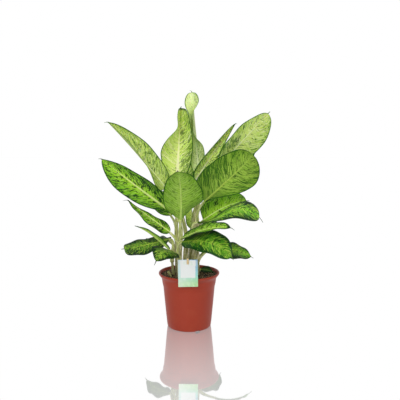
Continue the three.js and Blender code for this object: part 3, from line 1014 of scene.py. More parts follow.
LEAVES: dict[str, Leaf] = {
    "leaf_left_middle": Leaf(
        "front", 205, (-42, -40, 324), (-229, -70, 474), (-0.3, -0.7, 0.65), (44, 32), (-8, -8),
        (14, 8), 2, Age.GROWN, fold_right=(8, 14, 18, 18), outline=(0.95, 0.68, 0.5, 0.75),
        hook=(-4, 0, -4),
    ),
    "leaf_left_upper": Leaf(
        "middle", 215, (-64, 4, 389), (-218, -20, 570), (0.45, -0.65, 0.55), (42, 42), (2, 2),
        (12, 45, 58, 60), 1, Age.YOUNG, sway=(4, 4), fold_right=(10, 20, 20, 25),
        curl_right=(0, 0, 40, 100), outline=(0.22, 0.72, 0.35, 0.68), hook=(-6, 0, -6),
    ),
    "leaf_top_centre": Leaf(
        "middle", 224, (-35, 36, 391), (-21, 9, 612), (0, -1, 0.1), (56, 45), (-6, 4),
        (10, 6, 6, 16, 38, 62, 86, 84, 82), 1, Age.YOUNG, fold_right=(10, 10, 38, 66),
        outline=(0.5, 0.24, 0.4, 0.14), hook=(2, 0, -4),
    ),
    "leaf_topmost": Leaf(
        "right", 306, (28, 44, 412), (8, 30, 655), (-0.2, -0.9, 0.1), (31, 33), (-4, 4),
        (15, 20, 30, 50, 72, 76, 70, 32, 20), 1, Age.NEWEST,
        fold_right=(15, 20, 30, 44, 84, 86, 80, 34, 20), outline=(0.5, 0.36), hook=(-6, 0, -2),
    ),
    "leaf_front": Leaf(
        "front", 240, (-21, -50, 308), (-23, -190, 448), (0, 0.85, 0.5), (58, 48), (16, 34),
        (56, 34, 12, 6, 4, 4, 4, 4), 2, Age.GROWN, sway=(-6, -4),
        fold_right=(30, 14, 8, 6, 4, 4, 4, 4), outline=(0.38, 0.75),
    ),
    "leaf_right_large": Leaf(
        "right", 262, (43, -25, 353), (162, -165, 486), (0.53, 0.78, 0.32), (56, 65), (20, 44),
        (8, 4), 2, Age.GROWN, outline=(1.35, 0.8, 0.2, 0.53),
    ),
    "leaf_right_upper": Leaf(
        "right", 285, (80, 40, 440), (221, 15, 595), (-0.3, -0.8, 0.5), (36, 63), (0, 4),
        (8, 8), 2, Age.YOUNG, outline=(0.6, 0.6, 0.6, 0.5),
    ),
    "leaf_right_folded": Leaf(
        "right", 304, (18, 12, 406), (130, -10, 567), (0, -1, 0.1), (32, 30), (0, 4),
        (35, 62, 74, 74), 1, Age.YOUNG, sway=(-6, -6), fold_right=(36, 44, 62, 72),
        outline=(0.5, 0.6, 0.8, 0.9), hook=(2, 0, -8),
    ),
    "leaf_right_behind": Leaf(
        "right", 235, (39, 12, 297), (166, 0, 353), (-0.3, -0.6, 0.75), (51, 46), (14, 24),
        (8, 8), 3, Age.GROWN, outline=(0.15, 0.4, 0.4, 0.4),
    ),
    "leaf_right_arched": Leaf(
        "right", 212, (24, -30, 298), (194, -70, 310), (0, -0.45, 0.9), (40, 43), (-10, 84),
        (6, 0), 1, Age.OLD, outline=(1.8, 0.32, 1.4, 0.42), hook=(2, 0, -6),
    ),
    "leaf_right_narrow": Leaf(
        "front", 195, (-20, -56, 257), (116, -112, 296), (-0.1, -0.35, 0.95), (32, 16), (15, 21),
        (10, 0), 2, Age.GROWN, outline=(0.7, 0.62, 0.5, 0.6), hook=(2, 0, -5),
    ),
    "leaf_front_low": Leaf(
        "front", 170, (-17, -66, 251), (116, -130, 217), (0.1, -0.6, 0.8), (52, 34), (30, 54),
        (-4, -8), 2, Age.OLD, outline=(0.5, 0.45),
    ),
    "leaf_right_far": Leaf(
        "right", 165, (75, 0, 221), (178, -10, 194), (0, -0.45, 0.9), (27, 42), (14, 16),
        (4, 4), 2, Age.OLD, outline=(0.5, 0.7),
    ),
    "leaf_left_low": Leaf(
        "left", 180, (-56, -6, 247), (-182, -40, 226), (0, -0.5, 0.85), (34, 28), (-4, -6),
        (0, -4), 2, Age.OLD, outline=(0.5, 0.3),
    ),
    "leaf_left_small": Leaf(
        "front", 160, (-35, -58, 221), (-87, -112, 199), (-0.1, -0.55, 0.8), (34, 43), (14, 50),
        (-4, -8), 1, Age.OLD, outline=(0.5, 0.6, 0.5, 0.6),
    ),
    "leaf_left_narrow": Leaf(
        "front", 160, (-51, -30, 271), (-165, -55, 365), (0.2, -0.6, 0.75), (29, 17), (-2, -3),
        (12, 12), 2, Age.GROWN, outline=(0.5, 0.9, 0.35, 1.7), hook=(-8, 0, -6),
    ),
    "leaf_left_edge": Leaf(
        "left", 200, (-52, -32, 225), (-143, -52, 292), (0.5, 0.35, 0.8), (9, 9), (2, 12),
        (60, 60), 1, Age.GROWN,
    ),
    "leaf_in_pot": Leaf(
        "right", 150, (32, -8, 162), (71, -27, 156), (-0.3, -0.5, 0.85), (14, 9), (6, 8),
        (0, 0), 1, Age.IN_SHADE,
    ),
    "leaf_inner": Leaf(
        "middle", 200, (6, 22, 272), (8, 22, 358), (-0.4, -0.8, 0.1), (19, 19), (0, 4),
        (70, 60, 60, 70), 1, Age.YOUNG,
    ),
    "leaf_back_left": Leaf(
        "centre", 220, (-52, 52, 304), (-165, 155, 372), (-0.4, 0.2, 0.9), (42, 42), (14, 20),
        (8, 8), 3, Age.GROWN,
    ),
    "leaf_back_right": Leaf(
        "rear", 215, (42, 62, 372), (166, 165, 440), (-0.3, -0.2, 0.9), (46, 46), (14, 20),
        (8, 8), 3, Age.GROWN,
    ),
    "leaf_back_centre": Leaf(
        "centre", 232, (-32, 64, 372), (-28, 210, 500), (0, -0.6, 0.8), (44, 44), (10, 16),
        (8, 8), 3, Age.YOUNG,
    ),
    "leaf_back_middle": Leaf(
        "rear", 195, (46, 58, 285), (145, 125, 300), (0, 0.1, 0.9), (34, 34), (16, 24),
        (4, 0), 3, Age.OLD,
    ),
    "leaf_back_low_left": Leaf(
        "centre", 165, (-58, 48, 232), (-138, 110, 210), (-0.2, 0.2, 0.9), (30, 30), (14, 18),
        (4, 0), 3, Age.OLD,
    ),
    "leaf_back_low_right": Leaf(
        "rear", 165, (34, 66, 226), (96, 140, 206), (0.2, 0.2, 0.9), (32, 32), (14, 18),
        (4, 0), 3, Age.OLD,
    ),
}


@dataclass(frozen=True)
class BladeSkin:
    """One side of a blade: its ground colours, and the dark markings that follow its veins."""

    middle: Colour  # the ground beside the midrib
    outer: Colour  # the ground towards the margin
    dark: Colour  # the flecks and the margin
    rib: Colour  # the midrib, the veins and the pale streaks
    flecks: float  # the level above which the streaks turn dark, at the midrib
    edge_flecks: float  # the same at the margin
    strength: float = 0.85  # how dark a fleck is
    margin: float = 1.1  # where the dark margin starts, as a share of the half width
    tone: float = 1.0  # how light the ground is beside other leaves of its age: partly the leaf's own lightness, partly painted light on a blade folded away from the lamps or lying in others' shade
    crowds: tuple[Point, ...] = ()  # where flecks crowd: across, along, and how far round
    crowding: float = 0.04  # how much they crowd there, or thin out if it is negative
    cream: float = 0.2  # how pale the feathery streaks between the veins are
    streak: float = 30  # how many streaks there are from base to tip
    short: float = 3.0  # how many streaks there are from the midrib to the margin
    bias: float = 0.0  # how much rarer the flecks are on the left half
    base_shade: float = 0.0  # how much painted shade darkens the blade at its base
    tip: float = 0.955  # where the dark tip starts, as a share of the length
    rib_width: float = 2.4
    rib_strength: float = 0.9
    vein_tint: float = 0.3
    roughness: float = 0.46
    gloss: float = 0.14
    glow: float = 0.3  # how much light passes through the blade
    glow_reach: Point = (0.6, 1.0, 0.2)
    glow_depth: float = 0.003
    drift_scale: Pair = (2.5, 9.0)  # across and along, as the next four
    drift: Pair = (0.5, 0.07)
    fine_scale: Pair = (1.6, 2.1)
    coarse_scale: Pair = (0.8, 0.8)
    wisp_scale: Pair = (2.0, 2.0)
    coarse_seed: float = 5.0  # how far from the fine streaks the coarse ones are taken
    wisp_seed: float = 9.0
    fine_share: float = 0.68
    fleck_edges: Band = (0.01, 0.012)  # how softly a fleck ends, below and above its level
    crowd_breadth: float = 0.3
    feathering: float = 0.8
    margin_edge: float = 0.1
    margin_strength: float = 0.85
    rim_band: Band = (1.2, 3.6)  # millimetres from the edge
    rim_strength: float = 0.95
    tip_edge: float = 0.03
    ridge_band: Band = (0.0, 0.3)
    rib_taper: float = 0.75
    rib_band: Band = (0.6, 1.3)
    rib_fade: Band = (0.6, 0.97)
    outer_band: Band = (0.0, 0.85)
    wisp_band: Band = (0.5, 0.6)
    base_band: Band = (0.0, 0.5)
    pore_scale: float = 700
    pore_roughness: float = 0.15
    bump: Pair = (0.4, 0.0006)  # strength, and depth in metres
    bump_shares: Pair = (0.6, 0.4)  # of the veins and of the pores

    def ground(self, colour: Colour) -> Colour:
        """One of the skin's pale colours at this leaf's tone."""
        return tuple(min(1.0, channel * self.tone) for channel in colour)

    def make(self, name: str, seed: float) -> bpy.types.Material:
        """The material of one leaf's side.

        Args:
            name: The material's name.
            seed: A number of the leaf's own, which shifts its markings.

        Returns:
            The material, which reads the place on the blade as "blade": the signed share of the
            half width, the share of the length, and the half width in millimetres.
        """
        paint = Paint(bpy.data.materials.new(name))
        across, length, half = paint.parts(paint.attribute("blade"))
        out = abs(across)
        vein = vein_root(length, out)
        fine, coarse, wisps = self.streaks(paint, across, length, vein, seed)
        flecks = self.fleck_mask(across, length, fine, coarse)
        feathered = out + (fine - 0.5) * self.feathering + (coarse - 0.5) * self.feathering
        margin = feathered.step(self.margin, self.margin + self.margin_edge)
        rim = 1 - ((1 - out) * half).step(*self.rim_band)
        tip = length.step(self.tip, self.tip + self.tip_edge)
        ridge = ((vein * VEINS).math("PINGPONG", 0.5) * 2.0).step(*self.ridge_band)
        rib_width = self.rib_width * (1 - length * self.rib_taper)
        rib = 1 - (out * half).step(*(rib_width * end for end in self.rib_band))
        rib = rib * self.rib_strength * (1 - length.step(*self.rib_fade))
        # painted shade towards the base, where the blade lies in the other leaves' shade
        base = (1 - length.step(*self.base_band)) * self.base_shade
        # the tone lifts the pale colours, partly as painted light
        middle, outer, pale = (self.ground(c) for c in (self.middle, self.outer, self.rib))
        colour = paint.layers(
            middle,
            (out.step(*self.outer_band), outer),
            (wisps.step(*self.wisp_band) * self.cream, pale),
            ((1 - ridge) * self.vein_tint * (1 - out), pale),
            (base, self.dark),
            (flecks * self.strength, self.dark),
            (margin * self.margin_strength, self.dark),
            (rib, pale),
            (rim * self.rim_strength, self.dark),
            (tip, self.dark),
        )
        pores = paint.noise(paint.place(), self.pore_scale)
        relief = ridge * self.bump_shares[0] + pores * self.bump_shares[1]
        return paint.surface(
            colour,
            self.roughness + (pores - 0.5) * self.pore_roughness,
            paint.bump(relief, *self.bump),
            self.gloss,
            Subsurface_Weight=self.glow,
            Subsurface_Radius=self.glow_reach,
            Subsurface_Scale=self.glow_depth,
        )

    def streaks(
        self, paint: Paint, across: Wire, length: Wire, vein: Wire, seed: float
    ) -> tuple[Wire, Wire, Wire]:
        """The patterns that run along the veins.

        Args:
            paint: The material.
            across: The signed share of the half width.
            length: The share of the length.
            vein: The share of the length at the vein's root.
            seed: A number of the leaf's own.

        Returns:
            The fine and the coarse streaks, and the pale wisps.
        """
        wide, tall = self.drift_scale
        spot = paint.vector(across * wide, length * tall, seed)
        drift = paint.noise(spot, 1.0) - 0.5
        count = (vein + drift * self.drift[1]) * self.streak
        reach = (across + drift * self.drift[0]) * self.short
        wide, tall = self.fine_scale
        fine = paint.noise(paint.vector(count * tall, reach * wide + seed, seed), 1.0, 3, 0.6)
        wide, tall = self.coarse_scale
        spot = paint.vector(count * tall, reach * wide, seed + self.coarse_seed)
        coarse = paint.noise(spot, 1.0, 2, 0.6)
        wide, tall = self.wisp_scale
        spot = paint.vector(count * tall, across * wide, seed + self.wisp_seed)
        return fine, coarse, paint.noise(spot, 1.0, 3, 0.6)

    def fleck_mask(self, across: Wire, length: Wire, fine: Wire, coarse: Wire) -> Wire:
        """Where the streaks are dark flecks.

        Args:
            across: The signed share of the half width.
            length: The share of the length.
            fine: The fine streaks.
            coarse: The coarse streaks.

        Returns:
            1 in a fleck and 0 outside it.
        """
        level = fine * self.fine_share + coarse * (1 - self.fine_share)
        limit = self.flecks + (self.edge_flecks - self.flecks) * abs(across) * abs(across)
        limit = limit - across * self.bias
        for at_across, at_length, far in self.crowds:
            wide, tall = (across - at_across) * self.crowd_breadth, length - at_length
            off = (wide * wide + tall * tall) / (far * far)
            limit = limit - (1 - off.step(0.0, 1.0)) * self.crowding
        below, above = self.fleck_edges
        return level.step(limit - below, limit + above)


UPPER: dict[Age, BladeSkin] = {
    Age.NEWEST: BladeSkin(
        linear(206, 220, 156), linear(194, 210, 136), linear(84, 122, 36), linear(222, 230, 190),
        flecks=0.6, edge_flecks=0.55, strength=0.6, cream=0.5, streak=44, short=4.0,
    ),
    Age.YOUNG: BladeSkin(
        linear(190, 208, 108), linear(168, 194, 82), linear(34, 84, 14), linear(220, 228, 174),
        flecks=0.56, edge_flecks=0.525, strength=0.85, cream=0.3, streak=44, short=4.0,
    ),
    Age.GROWN: BladeSkin(
        linear(146, 196, 34), linear(108, 168, 18), linear(4, 46, 2), linear(208, 224, 136),
        flecks=0.535, edge_flecks=0.49, strength=0.95, cream=0.2,
    ),
    Age.OLD: BladeSkin(
        linear(104, 166, 34), linear(40, 100, 14), linear(2, 36, 2), linear(184, 212, 76),
        flecks=0.53, edge_flecks=0.47, strength=0.95, margin=0.55, cream=0.5, rib_strength=0.4,
    ),
    # painted shade: dark all over
    Age.IN_SHADE: BladeSkin(
        linear(76, 114, 44), linear(42, 78, 22), linear(14, 42, 10), linear(116, 144, 76),
        flecks=0.46, edge_flecks=0.42, strength=0.8, margin=0.4, cream=0.1, rib_strength=0.4,
    ),
}

MATT = {"roughness": 0.55, "gloss": 0.15}
UNDER: dict[Age, BladeSkin] = {
    Age.NEWEST: BladeSkin(
        linear(200, 216, 146), linear(190, 208, 128), linear(110, 146, 62), linear(214, 224, 176),
        flecks=0.58, edge_flecks=0.54, strength=0.5, **MATT,
    ),
    Age.YOUNG: BladeSkin(
        linear(176, 198, 104), linear(160, 186, 86), linear(80, 120, 36), linear(204, 216, 150),
        flecks=0.57, edge_flecks=0.53, strength=0.6, **MATT,
    ),
    Age.GROWN: BladeSkin(
        linear(138, 174, 62), linear(112, 153, 40), linear(28, 74, 12), linear(184, 204, 114),
        flecks=0.56, edge_flecks=0.52, strength=0.6, rib_strength=0.6, vein_tint=0.7, **MATT,
    ),
    Age.OLD: BladeSkin(
        linear(104, 140, 50), linear(72, 108, 32), linear(28, 62, 14), linear(146, 170, 88),
        flecks=0.53, edge_flecks=0.48, strength=0.6, margin=0.85, rib_strength=0.5, **MATT,
    ),
    # painted shade: dark all over
    Age.IN_SHADE: BladeSkin(
        linear(86, 120, 48), linear(58, 92, 32), linear(26, 56, 16), linear(122, 148, 78),
        flecks=0.5, edge_flecks=0.46, strength=0.6, margin=0.8, rib_strength=0.5, **MATT,
    ),
}

# What sets single leaves apart from others of their age
UPPER_TRAITS: dict[str, dict[str, object]] = {
    "leaf_left_middle": {
        "base_shade": 0.3, "rib_width": 3.6, "tone": 0.95,
        "crowds": ((0.6, 0.2, 0.24), (0.5, 0.5, 0.2), (-0.6, 0.1, 0.16), (0.5, 0.8, 0.1)),
    },
    "leaf_left_upper": {
        "tone": 1.05, "cream": 0.45,
        "crowds": ((0.5, 0.3, 0.2), (0.3, 0.62, 0.14), (-0.2, 0.9, 0.1)),
    },
    "leaf_top_centre": {
        "rib_width": 4.5, "tone": 1.4, "cream": 0.6, "tip": 0.93, "bias": 0.05, "strength": 0.75,
        "flecks": 0.58, "crowds": ((0.7, 0.3, 0.24), (0.4, 0.68, 0.1)),
    },
    "leaf_topmost": {
        "tone": 1.2, "cream": 0.3, "crowds": ((0.5, 0.2, 0.34), (0.6, 0.9, 0.14)),
        "crowding": 0.065, "flecks": 0.58, "margin": 0.95, "strength": 0.75,
    },
    "leaf_right_upper": {
        "tone": 0.93, "cream": 0.5, "crowds": ((-0.35, 0.42, 0.12), (-0.7, 0.3, 0.16)),
        "crowding": 0.07,
    },
    "leaf_right_folded": {
        "tone": 1.6, "margin": 0.7, "rib_width": 4, "cream": 0.6, "flecks": 0.545,
        "edge_flecks": 0.5, "tip": 0.9, "crowds": ((0.5, 0.15, 0.3), (-0.5, 0.6, 0.2)),
        "crowding": 0.06,
    },
    "leaf_right_behind": {"margin": 1.05, "tone": 1.04, "flecks": 0.552, "edge_flecks": 0.51},
    "leaf_right_arched": {
        "margin": 0.68, "base_shade": 0.6, "tone": 1.22, "flecks": 0.555, "cream": 0.6,
    },
    "leaf_right_narrow": {
        "tone": 1.1, "cream": 0.5, "bias": -0.03, "margin": 0.72, "tip": 0.88, "base_shade": 0.3,
    },
    "leaf_right_far": {"tone": 1.15, "margin": 0.75, "flecks": 0.545},
    "leaf_front_low": {
        "margin": 0.66, "cream": 0.85, "base_shade": 0.6, "streak": 24, "short": 2.0,
        "outer": linear(44, 122, 14), "dark": linear(6, 52, 4), "vein_tint": 0.1,
        "crowds": ((0.1, 0.85, 0.36),), "crowding": -0.04, "tone": 0.8,
    },
    "leaf_left_small": {
        "margin": 0.6, "cream": 0.95, "base_shade": 0.3, "tone": 0.82, "streak": 24, "short": 2.0,
    },
    "leaf_left_low": {
        "margin": 0.68, "base_shade": 0.4, "tone": 0.86, "rib_strength": 0.7, "streak": 30,
        "cream": 0.9, "crowding": 0.06, "crowds": ((0.5, 0.3, 0.2), (-0.4, 0.8, 0.16)),
    },
    "leaf_left_narrow": {
        "tone": 1.05, "cream": 0.5, "crowds": ((-0.6, 0.2, 0.2), (0.6, 0.2, 0.2)),
    },
    "leaf_left_edge": {"cream": 0.6, "flecks": 0.56, "tone": 1.45},
    "leaf_inner": {"tone": 1.5, "base_shade": 0.3},
}
UNDER_TRAITS: dict[str, dict[str, object]] = {
    # its base shade is painted shade, and its crowded flecks are partly its own markings and partly
    # painted shade
    "leaf_right_large": {
        "base_shade": 0.4, "flecks": 0.55, "edge_flecks": 0.51, "strength": 0.85, "cream": 0.5,
        "rib": linear(182, 202, 90), "tone": 1.04,
        "crowds": ((0.7, 0.35, 0.3), (-0.6, 0.5, 0.12)), "crowding": 0.045, "streak": 50,
    },
    "leaf_front": {"base_shade": 0.1, "tone": 1.15, "cream": 0.3, "short": 4.0},
}


@dataclass
class Blade:
    """A leaf's blade: a thin sheet, folded and waved, with its midrib standing out below."""

    name: str
    leaf: Leaf
    curve: Bend = field(init=False)
    rows: int = 132
    columns: int = 38
    spur_rows: int = 6
    thickness: float = 0.9
    edge_thickness: float = 0.6
    rib_depth: Pair = (3.6, 0.3)
    rib_thinning: float = 0.7
    rib_half_width: Pair = (2.8, 0.9)
    rib_share: float = 0.6
    rib_sharpness: float = 1.4
    crease: float = 0.5  # the depth of the groove above the midrib
    base_half_width: float = 3.4
    base_narrowing: float = 0.3
    spur: float = 8
    spur_half_width: float = 1.6
    spur_taper: float = 0.6
    tip_half_width: float = 0.4
    ripples: float = 17
    ripple_half_width: float = 12
    vein_width: float = 1.5
    vein_height: float = 0.28
    quilting: float = 0.45  # how far the blade swells between its veins
    smooth_rib: float = 5  # how far the veins stay clear of the midrib
    smooth_margin: float = 8
    straight: float = 1e-6  # the bend that stands for none
    crowding: float = 1.5  # how closely the columns crowd at the midrib

    def __post_init__(self) -> None:
        """Works out the midrib's curve."""
        self.curve = self.leaf.midrib()

    def half_width(self, share: float, outward: int) -> float:
        """How far one half of the blade reaches.

        Args:
            share: The place from base to tip, from 0 to 1.
            outward: -1 on the left and 1 on the right.

        Returns:
            The half width in millimetres.
        """
        outline = self.leaf.outline
        swell, taper = outline[-2:] if outward > 0 else outline[:2]
        widest = swell / (swell + taper)
        greatest = self.leaf.halves[1 if outward > 0 else 0]
        shape = share**swell * max(0.0, 1 - share) ** taper
        blade = greatest * shape / (widest**swell * (1 - widest) ** taper)
        neck = share**self.base_narrowing
        return max(blade, lerp(self.base_half_width, self.spur_half_width, neck))

    def row(self, place: float) -> Row:
        """One row across the blade.

        Args:
            place: The row's place from base to tip, from 0 to 1.

        Returns:
            The share of the midrib, the two half widths, the midrib's point, the direction to the
            right, and the upward normal.
        """
        curve = self.curve
        spur_start = 1 - self.spur_rows / self.rows
        blade_share = 1 - self.spur / curve.length
        if place <= spur_start:
            share = (1 - math.cos(math.pi * place / spur_start)) / 2
            u = share * blade_share
            halves = (self.half_width(share, -1), self.half_width(share, 1))
            bent = 0.0
        else:
            rest = (place - spur_start) / (1 - spur_start)
            u = lerp(blade_share, 1, rest)
            halves = (lerp(self.spur_half_width, self.tip_half_width, rest**self.spur_taper),) * 2
            bent = rest * rest
        tangent = curve.tangent(u)
        normal = across_from(tangent, Vector(self.leaf.face))
        point = curve.point(u) + Vector(self.leaf.hook) * bent
        return u, halves, point, tangent.cross(normal), normal

    def point(self, across: float, row: Row, upper: bool) -> tuple[Vector, float]:
        """One point of the sheet.

        Args:
            across: The signed share of the half width.
            row: The row's values, from row().
            upper: Whether the point is on the upper side.

        Returns:
            The point in millimetres, and the half width there.
        """
        leaf = self.leaf
        u, halves, middle, side, normal = row
        right = across > 0
        outward = (across > 0) - (across < 0)
        half = halves[1 if right else 0]
        out = abs(across)
        distance = out * half
        fold = math.radians(along((right and leaf.fold_right) or leaf.fold, u))
        curl = math.radians(along((right and leaf.curl_right) or (0, 0), u))
        bend = curl / half or self.straight
        angle = fold + bend * distance
        reach = (math.sin(angle) - math.sin(fold)) / bend
        lift = (math.cos(fold) - math.cos(angle)) / bend
        room = min(1, half / self.ripple_half_width)
        phase = outward + leaf.halves[0]
        ripple = leaf.wave * room * out**2 * math.sin(u * self.ripples + phase)
        vein = vein_root(u, out) * VEINS
        off = abs(vein - round(vein))
        ridge = math.exp(-((off * self.curve.length / VEINS / self.vein_width) ** 2))
        clear = ease(distance / self.smooth_rib) * ease((half - distance) / self.smooth_margin)
        open_share = clear * room
        quilt = self.quilting * math.sin(math.pi * off) ** 2 * open_share
        rib = min(lerp(*self.rib_half_width, u), half * self.rib_share)
        ridge_line = math.exp(-((distance / rib) ** 2) * self.rib_sharpness)
        up = normal * (math.cos(angle) if outward else 1) - side * (outward * math.sin(angle))
        if upper:
            depth = self.crease * ridge_line * room
        else:
            depth = lerp(self.thickness, self.edge_thickness, out)
            depth += lerp(*self.rib_depth, u**self.rib_thinning) * ridge_line
            depth += self.vein_height * ridge * open_share
        point = middle + side * (outward * reach) + normal * (lift + ripple)
        return point + up * (quilt - depth), half

    def build(self, upper: bpy.types.Material, under: bpy.types.Material) -> None:
        """Makes the blade.

        Args:
            upper: The material of its upper side.
            under: The material of its under side and its edge.
        """
        mesh = bmesh.new()
        bmesh.ops.create_grid(mesh, x_segments=self.columns, y_segments=self.rows, size=1)
        raised = bmesh.ops.extrude_face_region(mesh, geom=mesh.faces[:])["geom"]
        for vert in raised:
            if isinstance(vert, bmesh.types.BMVert):
                vert.co.z = 1
        bmesh.ops.recalc_face_normals(mesh, faces=mesh.faces)
        mesh.normal_update()
        smooth(mesh)
        for face in mesh.faces:
            face.material_index = 0 if face.normal.z > 0.5 else 1
            if abs(face.normal.z) < 0.5:
                for edge in face.edges:
                    edge.smooth = False
        places = mesh.verts.layers.float_vector.new("blade")
        rows: dict[int, Row] = {}
        for vert in mesh.verts:
            across = math.copysign(abs(vert.co.x) ** self.crowding, vert.co.x)
            index = round((vert.co.y + 1) / 2 * self.rows)
            if index not in rows:
                rows[index] = self.row(index / self.rows)
            row = rows[index]
            point, half = self.point(across, row, vert.co.z > 0.5)
            vert[places] = (across, row[0], half)
            vert.co = point * MM
        add_piece(mesh, f"{self.name}_blade", [upper, under], [self.name])


@dataclass
class Stems:
    """All canes, each with the fleshy stalks of its own leaves."""

    sides: int = 20
    cane_rows: int = 90
    stalk_rows: int = 64
    root_radius: float = 6
    end_radius: float = 3.4
    thinning: float = 1.3  # how soon a stalk reaches its end's radius
    reach: float = 0.4  # how far a stalk keeps the directions of its ends
    ring_spacing: float = 17
    ring_height: float = 0.45
    ring_width: float = 1.3
    groove: float = 0.34
    groove_width: float = 0.42  # radians, as wing_place and wing_width
    wing: float = 0.3
    wing_place: float = 0.62
    wing_width: float = 0.2
    sheath: float = 0.55  # the share of a stalk that its sheath covers
    sheath_end: float = 0.1
    round_rows: float = 2  # the rows over which a bar's ends close
    lobes: int = 3
    lobe_depth: float = 0.02
    lobe_twist: float = 9
    turning: Pair = (1.5, 0.4)  # how fast and how late the channel turns up
    below_rib: float = 2.25  # how far below the blade's base a stalk ends, and how far past it
    into_blade: float = 2
    cane_green: float = 0.15
    stalk_green: Pair = (0.45, 1.0)
    greening: float = 1.2
    # the canes that take a darker copy of the skin, as painted shade, and how much darker it is
    shaded: tuple[str, ...] = ("right", "rear")
    shade: float = 0.03

    def tube(
        self,
        mesh: bmesh.types.BMesh,
        rows: int,
        ring: Callable[[float], Ring],
        section: Callable[[float, float], float],
        scar: Callable[[float], float],
    ) -> None:
        """Adds a closed round bar to a mesh.

        Args:
            mesh: The mesh that the bar joins.
            rows: The number of rows along it.
            ring: Gives the centre, two axes across, the length so far and the greenness, at a
                share of the bar.
            section: Gives the radius at a share of the bar and an angle from the first axis.
            scar: Gives how much of a brown scar there is at a share of the bar.
        """
        bar = bmesh.new()
        bmesh.ops.create_grid(bar, x_segments=self.sides, y_segments=rows, size=1)
        grain = bar.verts.layers.float_vector.new("grain")
        turn = bar.verts.layers.float_vector.new("round")
        for vert in bar.verts:
            share = (vert.co.y + 1) / 2
            angle = (vert.co.x + 1) * math.pi
            centre, first, second, length, green = ring(share)
            end = min(share, 1 - share) * rows
            radius = section(share, angle) * math.sqrt(min(1, end / self.round_rows))
            east, north = math.cos(angle), math.sin(angle)
            vert[grain] = (scar(share), length * MM, green)
            vert[turn] = (east, north, 0)
            vert.co = (centre + (first * east + second * north) * radius) * MM
        bmesh.ops.remove_doubles(bar, verts=bar.verts, dist=MERGE)
        smooth(bar)
        face_out(bar)
        data = to_data(bar, "bar")
        mesh.from_mesh(data)
        bpy.data.meshes.remove(data)

    def add_cane(self, mesh: bmesh.types.BMesh, cane: Cane) -> None:
        """Adds a cane with the ring scars of old leaves.

        Args:
            mesh: The mesh that the cane joins.
            cane: The cane.
        """
        curve = cane.curve()
        buried_share = cane.buried / (cane.buried + curve.length)
        whole = cane.buried + curve.length

        def ring(share: float) -> Ring:
            """The cane's ring.

            Args:
                share: The place from the buried end to the head, from 0 to 1.

            Returns:
                Its centre and frame, the length so far and the greenness.
            """
            if share < buried_share:
                centre = curve.points[0] - Vector((0, 0, (buried_share - share) * whole))
                tangent = Vector((0, 0, 1))
            else:
                t = curve.parameter((share - buried_share) / (1 - buried_share))
                centre, tangent = curve.point(t), curve.tangent(t)
            first = across_from(tangent, Vector((1, 0, 0)))
            return centre, first, tangent.cross(first), share * whole, self.cane_green

        def scar(share: float) -> float:
            """How near a ring scar is."""
            off = share * whole / self.ring_spacing
            return math.exp(-(((off - round(off)) * self.ring_spacing / self.ring_width) ** 2))

        def section(share: float, angle: float) -> float:
            """The cane's radius.

            Args:
                share: The place along the cane.
                angle: The angle round it.

            Returns:
                The radius, a little less between two scars.
            """
            lobe = math.sin(self.lobes * angle + share * self.lobe_twist)
            low = self.ring_height * scar(share) - self.ring_height
            return lerp(*cane.radius, share) * (1 + self.lobe_depth * lobe) + low

        self.tube(mesh, self.cane_rows, ring, section, scar)

    def add_stalk(self, mesh: bmesh.types.BMesh, leaf: Leaf) -> None:
        """Adds a leaf's stalk, with a channel above and a sheath over its lower half.

        Args:
            mesh: The mesh that the stalk joins.
            leaf: The leaf.
        """
        root, direction = CANES[leaf.cane].place(leaf.start)
        midrib = leaf.midrib()
        heading = midrib.tangent(0)
        normal = across_from(heading, Vector(leaf.face))
        end = midrib.point(0) - normal * self.below_rib + heading * self.into_blade
        reach = (end - root).length * self.reach
        curve = Bend((root, root + direction * reach, end - heading * reach, end))
        chord = end - root
        sideways = Vector((chord.y, -chord.x, 0)).normalized()

        def ring(share: float) -> Ring:
            """The stalk's ring.

            Args:
                share: The place from the cane to the blade, from 0 to 1.

            Returns:
                Its centre, the axis to the channel and the other, the length and the greenness.
            """
            t = curve.parameter(share)
            tangent = curve.tangent(t)
            inward = sideways.cross(tangent)
            blend = ease(share * self.turning[0] - self.turning[1])
            first = across_from(tangent, inward.lerp(normal, blend))
            green = lerp(*self.stalk_green, ease(share * self.greening))
            return curve.point(t), first, tangent.cross(first), share * curve.length, green

        def section(share: float, angle: float) -> float:
            """The stalk's radius.

            Args:
                share: The place along the stalk.
                angle: The angle from its channel.

            Returns:
                The radius, less in the channel and more along the sheath's two edges.
            """
            plain = lerp(self.root_radius, self.end_radius, min(1, share * self.thinning))
            off = min(angle, math.tau - angle)
            channel = math.exp(-((off / self.groove_width) ** 2)) * self.groove
            wings = math.exp(-(((off - self.wing_place) / self.wing_width) ** 2)) * self.wing
            wings *= 1 - ease((share - self.sheath) / self.sheath_end)
            return plain * (1 - channel + wings)

        self.tube(mesh, self.stalk_rows, ring, section, lambda share: 0.0)

    def build(self, skin: StemSkin) -> None:
        """Makes each cane with its stalks as one piece.

        Args:
            skin: Their finish.
        """
        plain = skin.make("stem_skin")
        # a darker copy of the skin: painted shade for the canes that stand in the others' shade
        shaded = replace(skin, shade=self.shade).make("stem_skin_shaded")
        for name, cane in CANES.items():
            mesh = bmesh.new()
            self.add_cane(mesh, cane)
            for leaf in LEAVES.values():
                if leaf.cane == name:
                    self.add_stalk(mesh, leaf)
            material = shaded if name in self.shaded else plain
            add_piece(mesh, f"cane_{name}", [material], [f"stem_{name}"])


# The care card and its stake


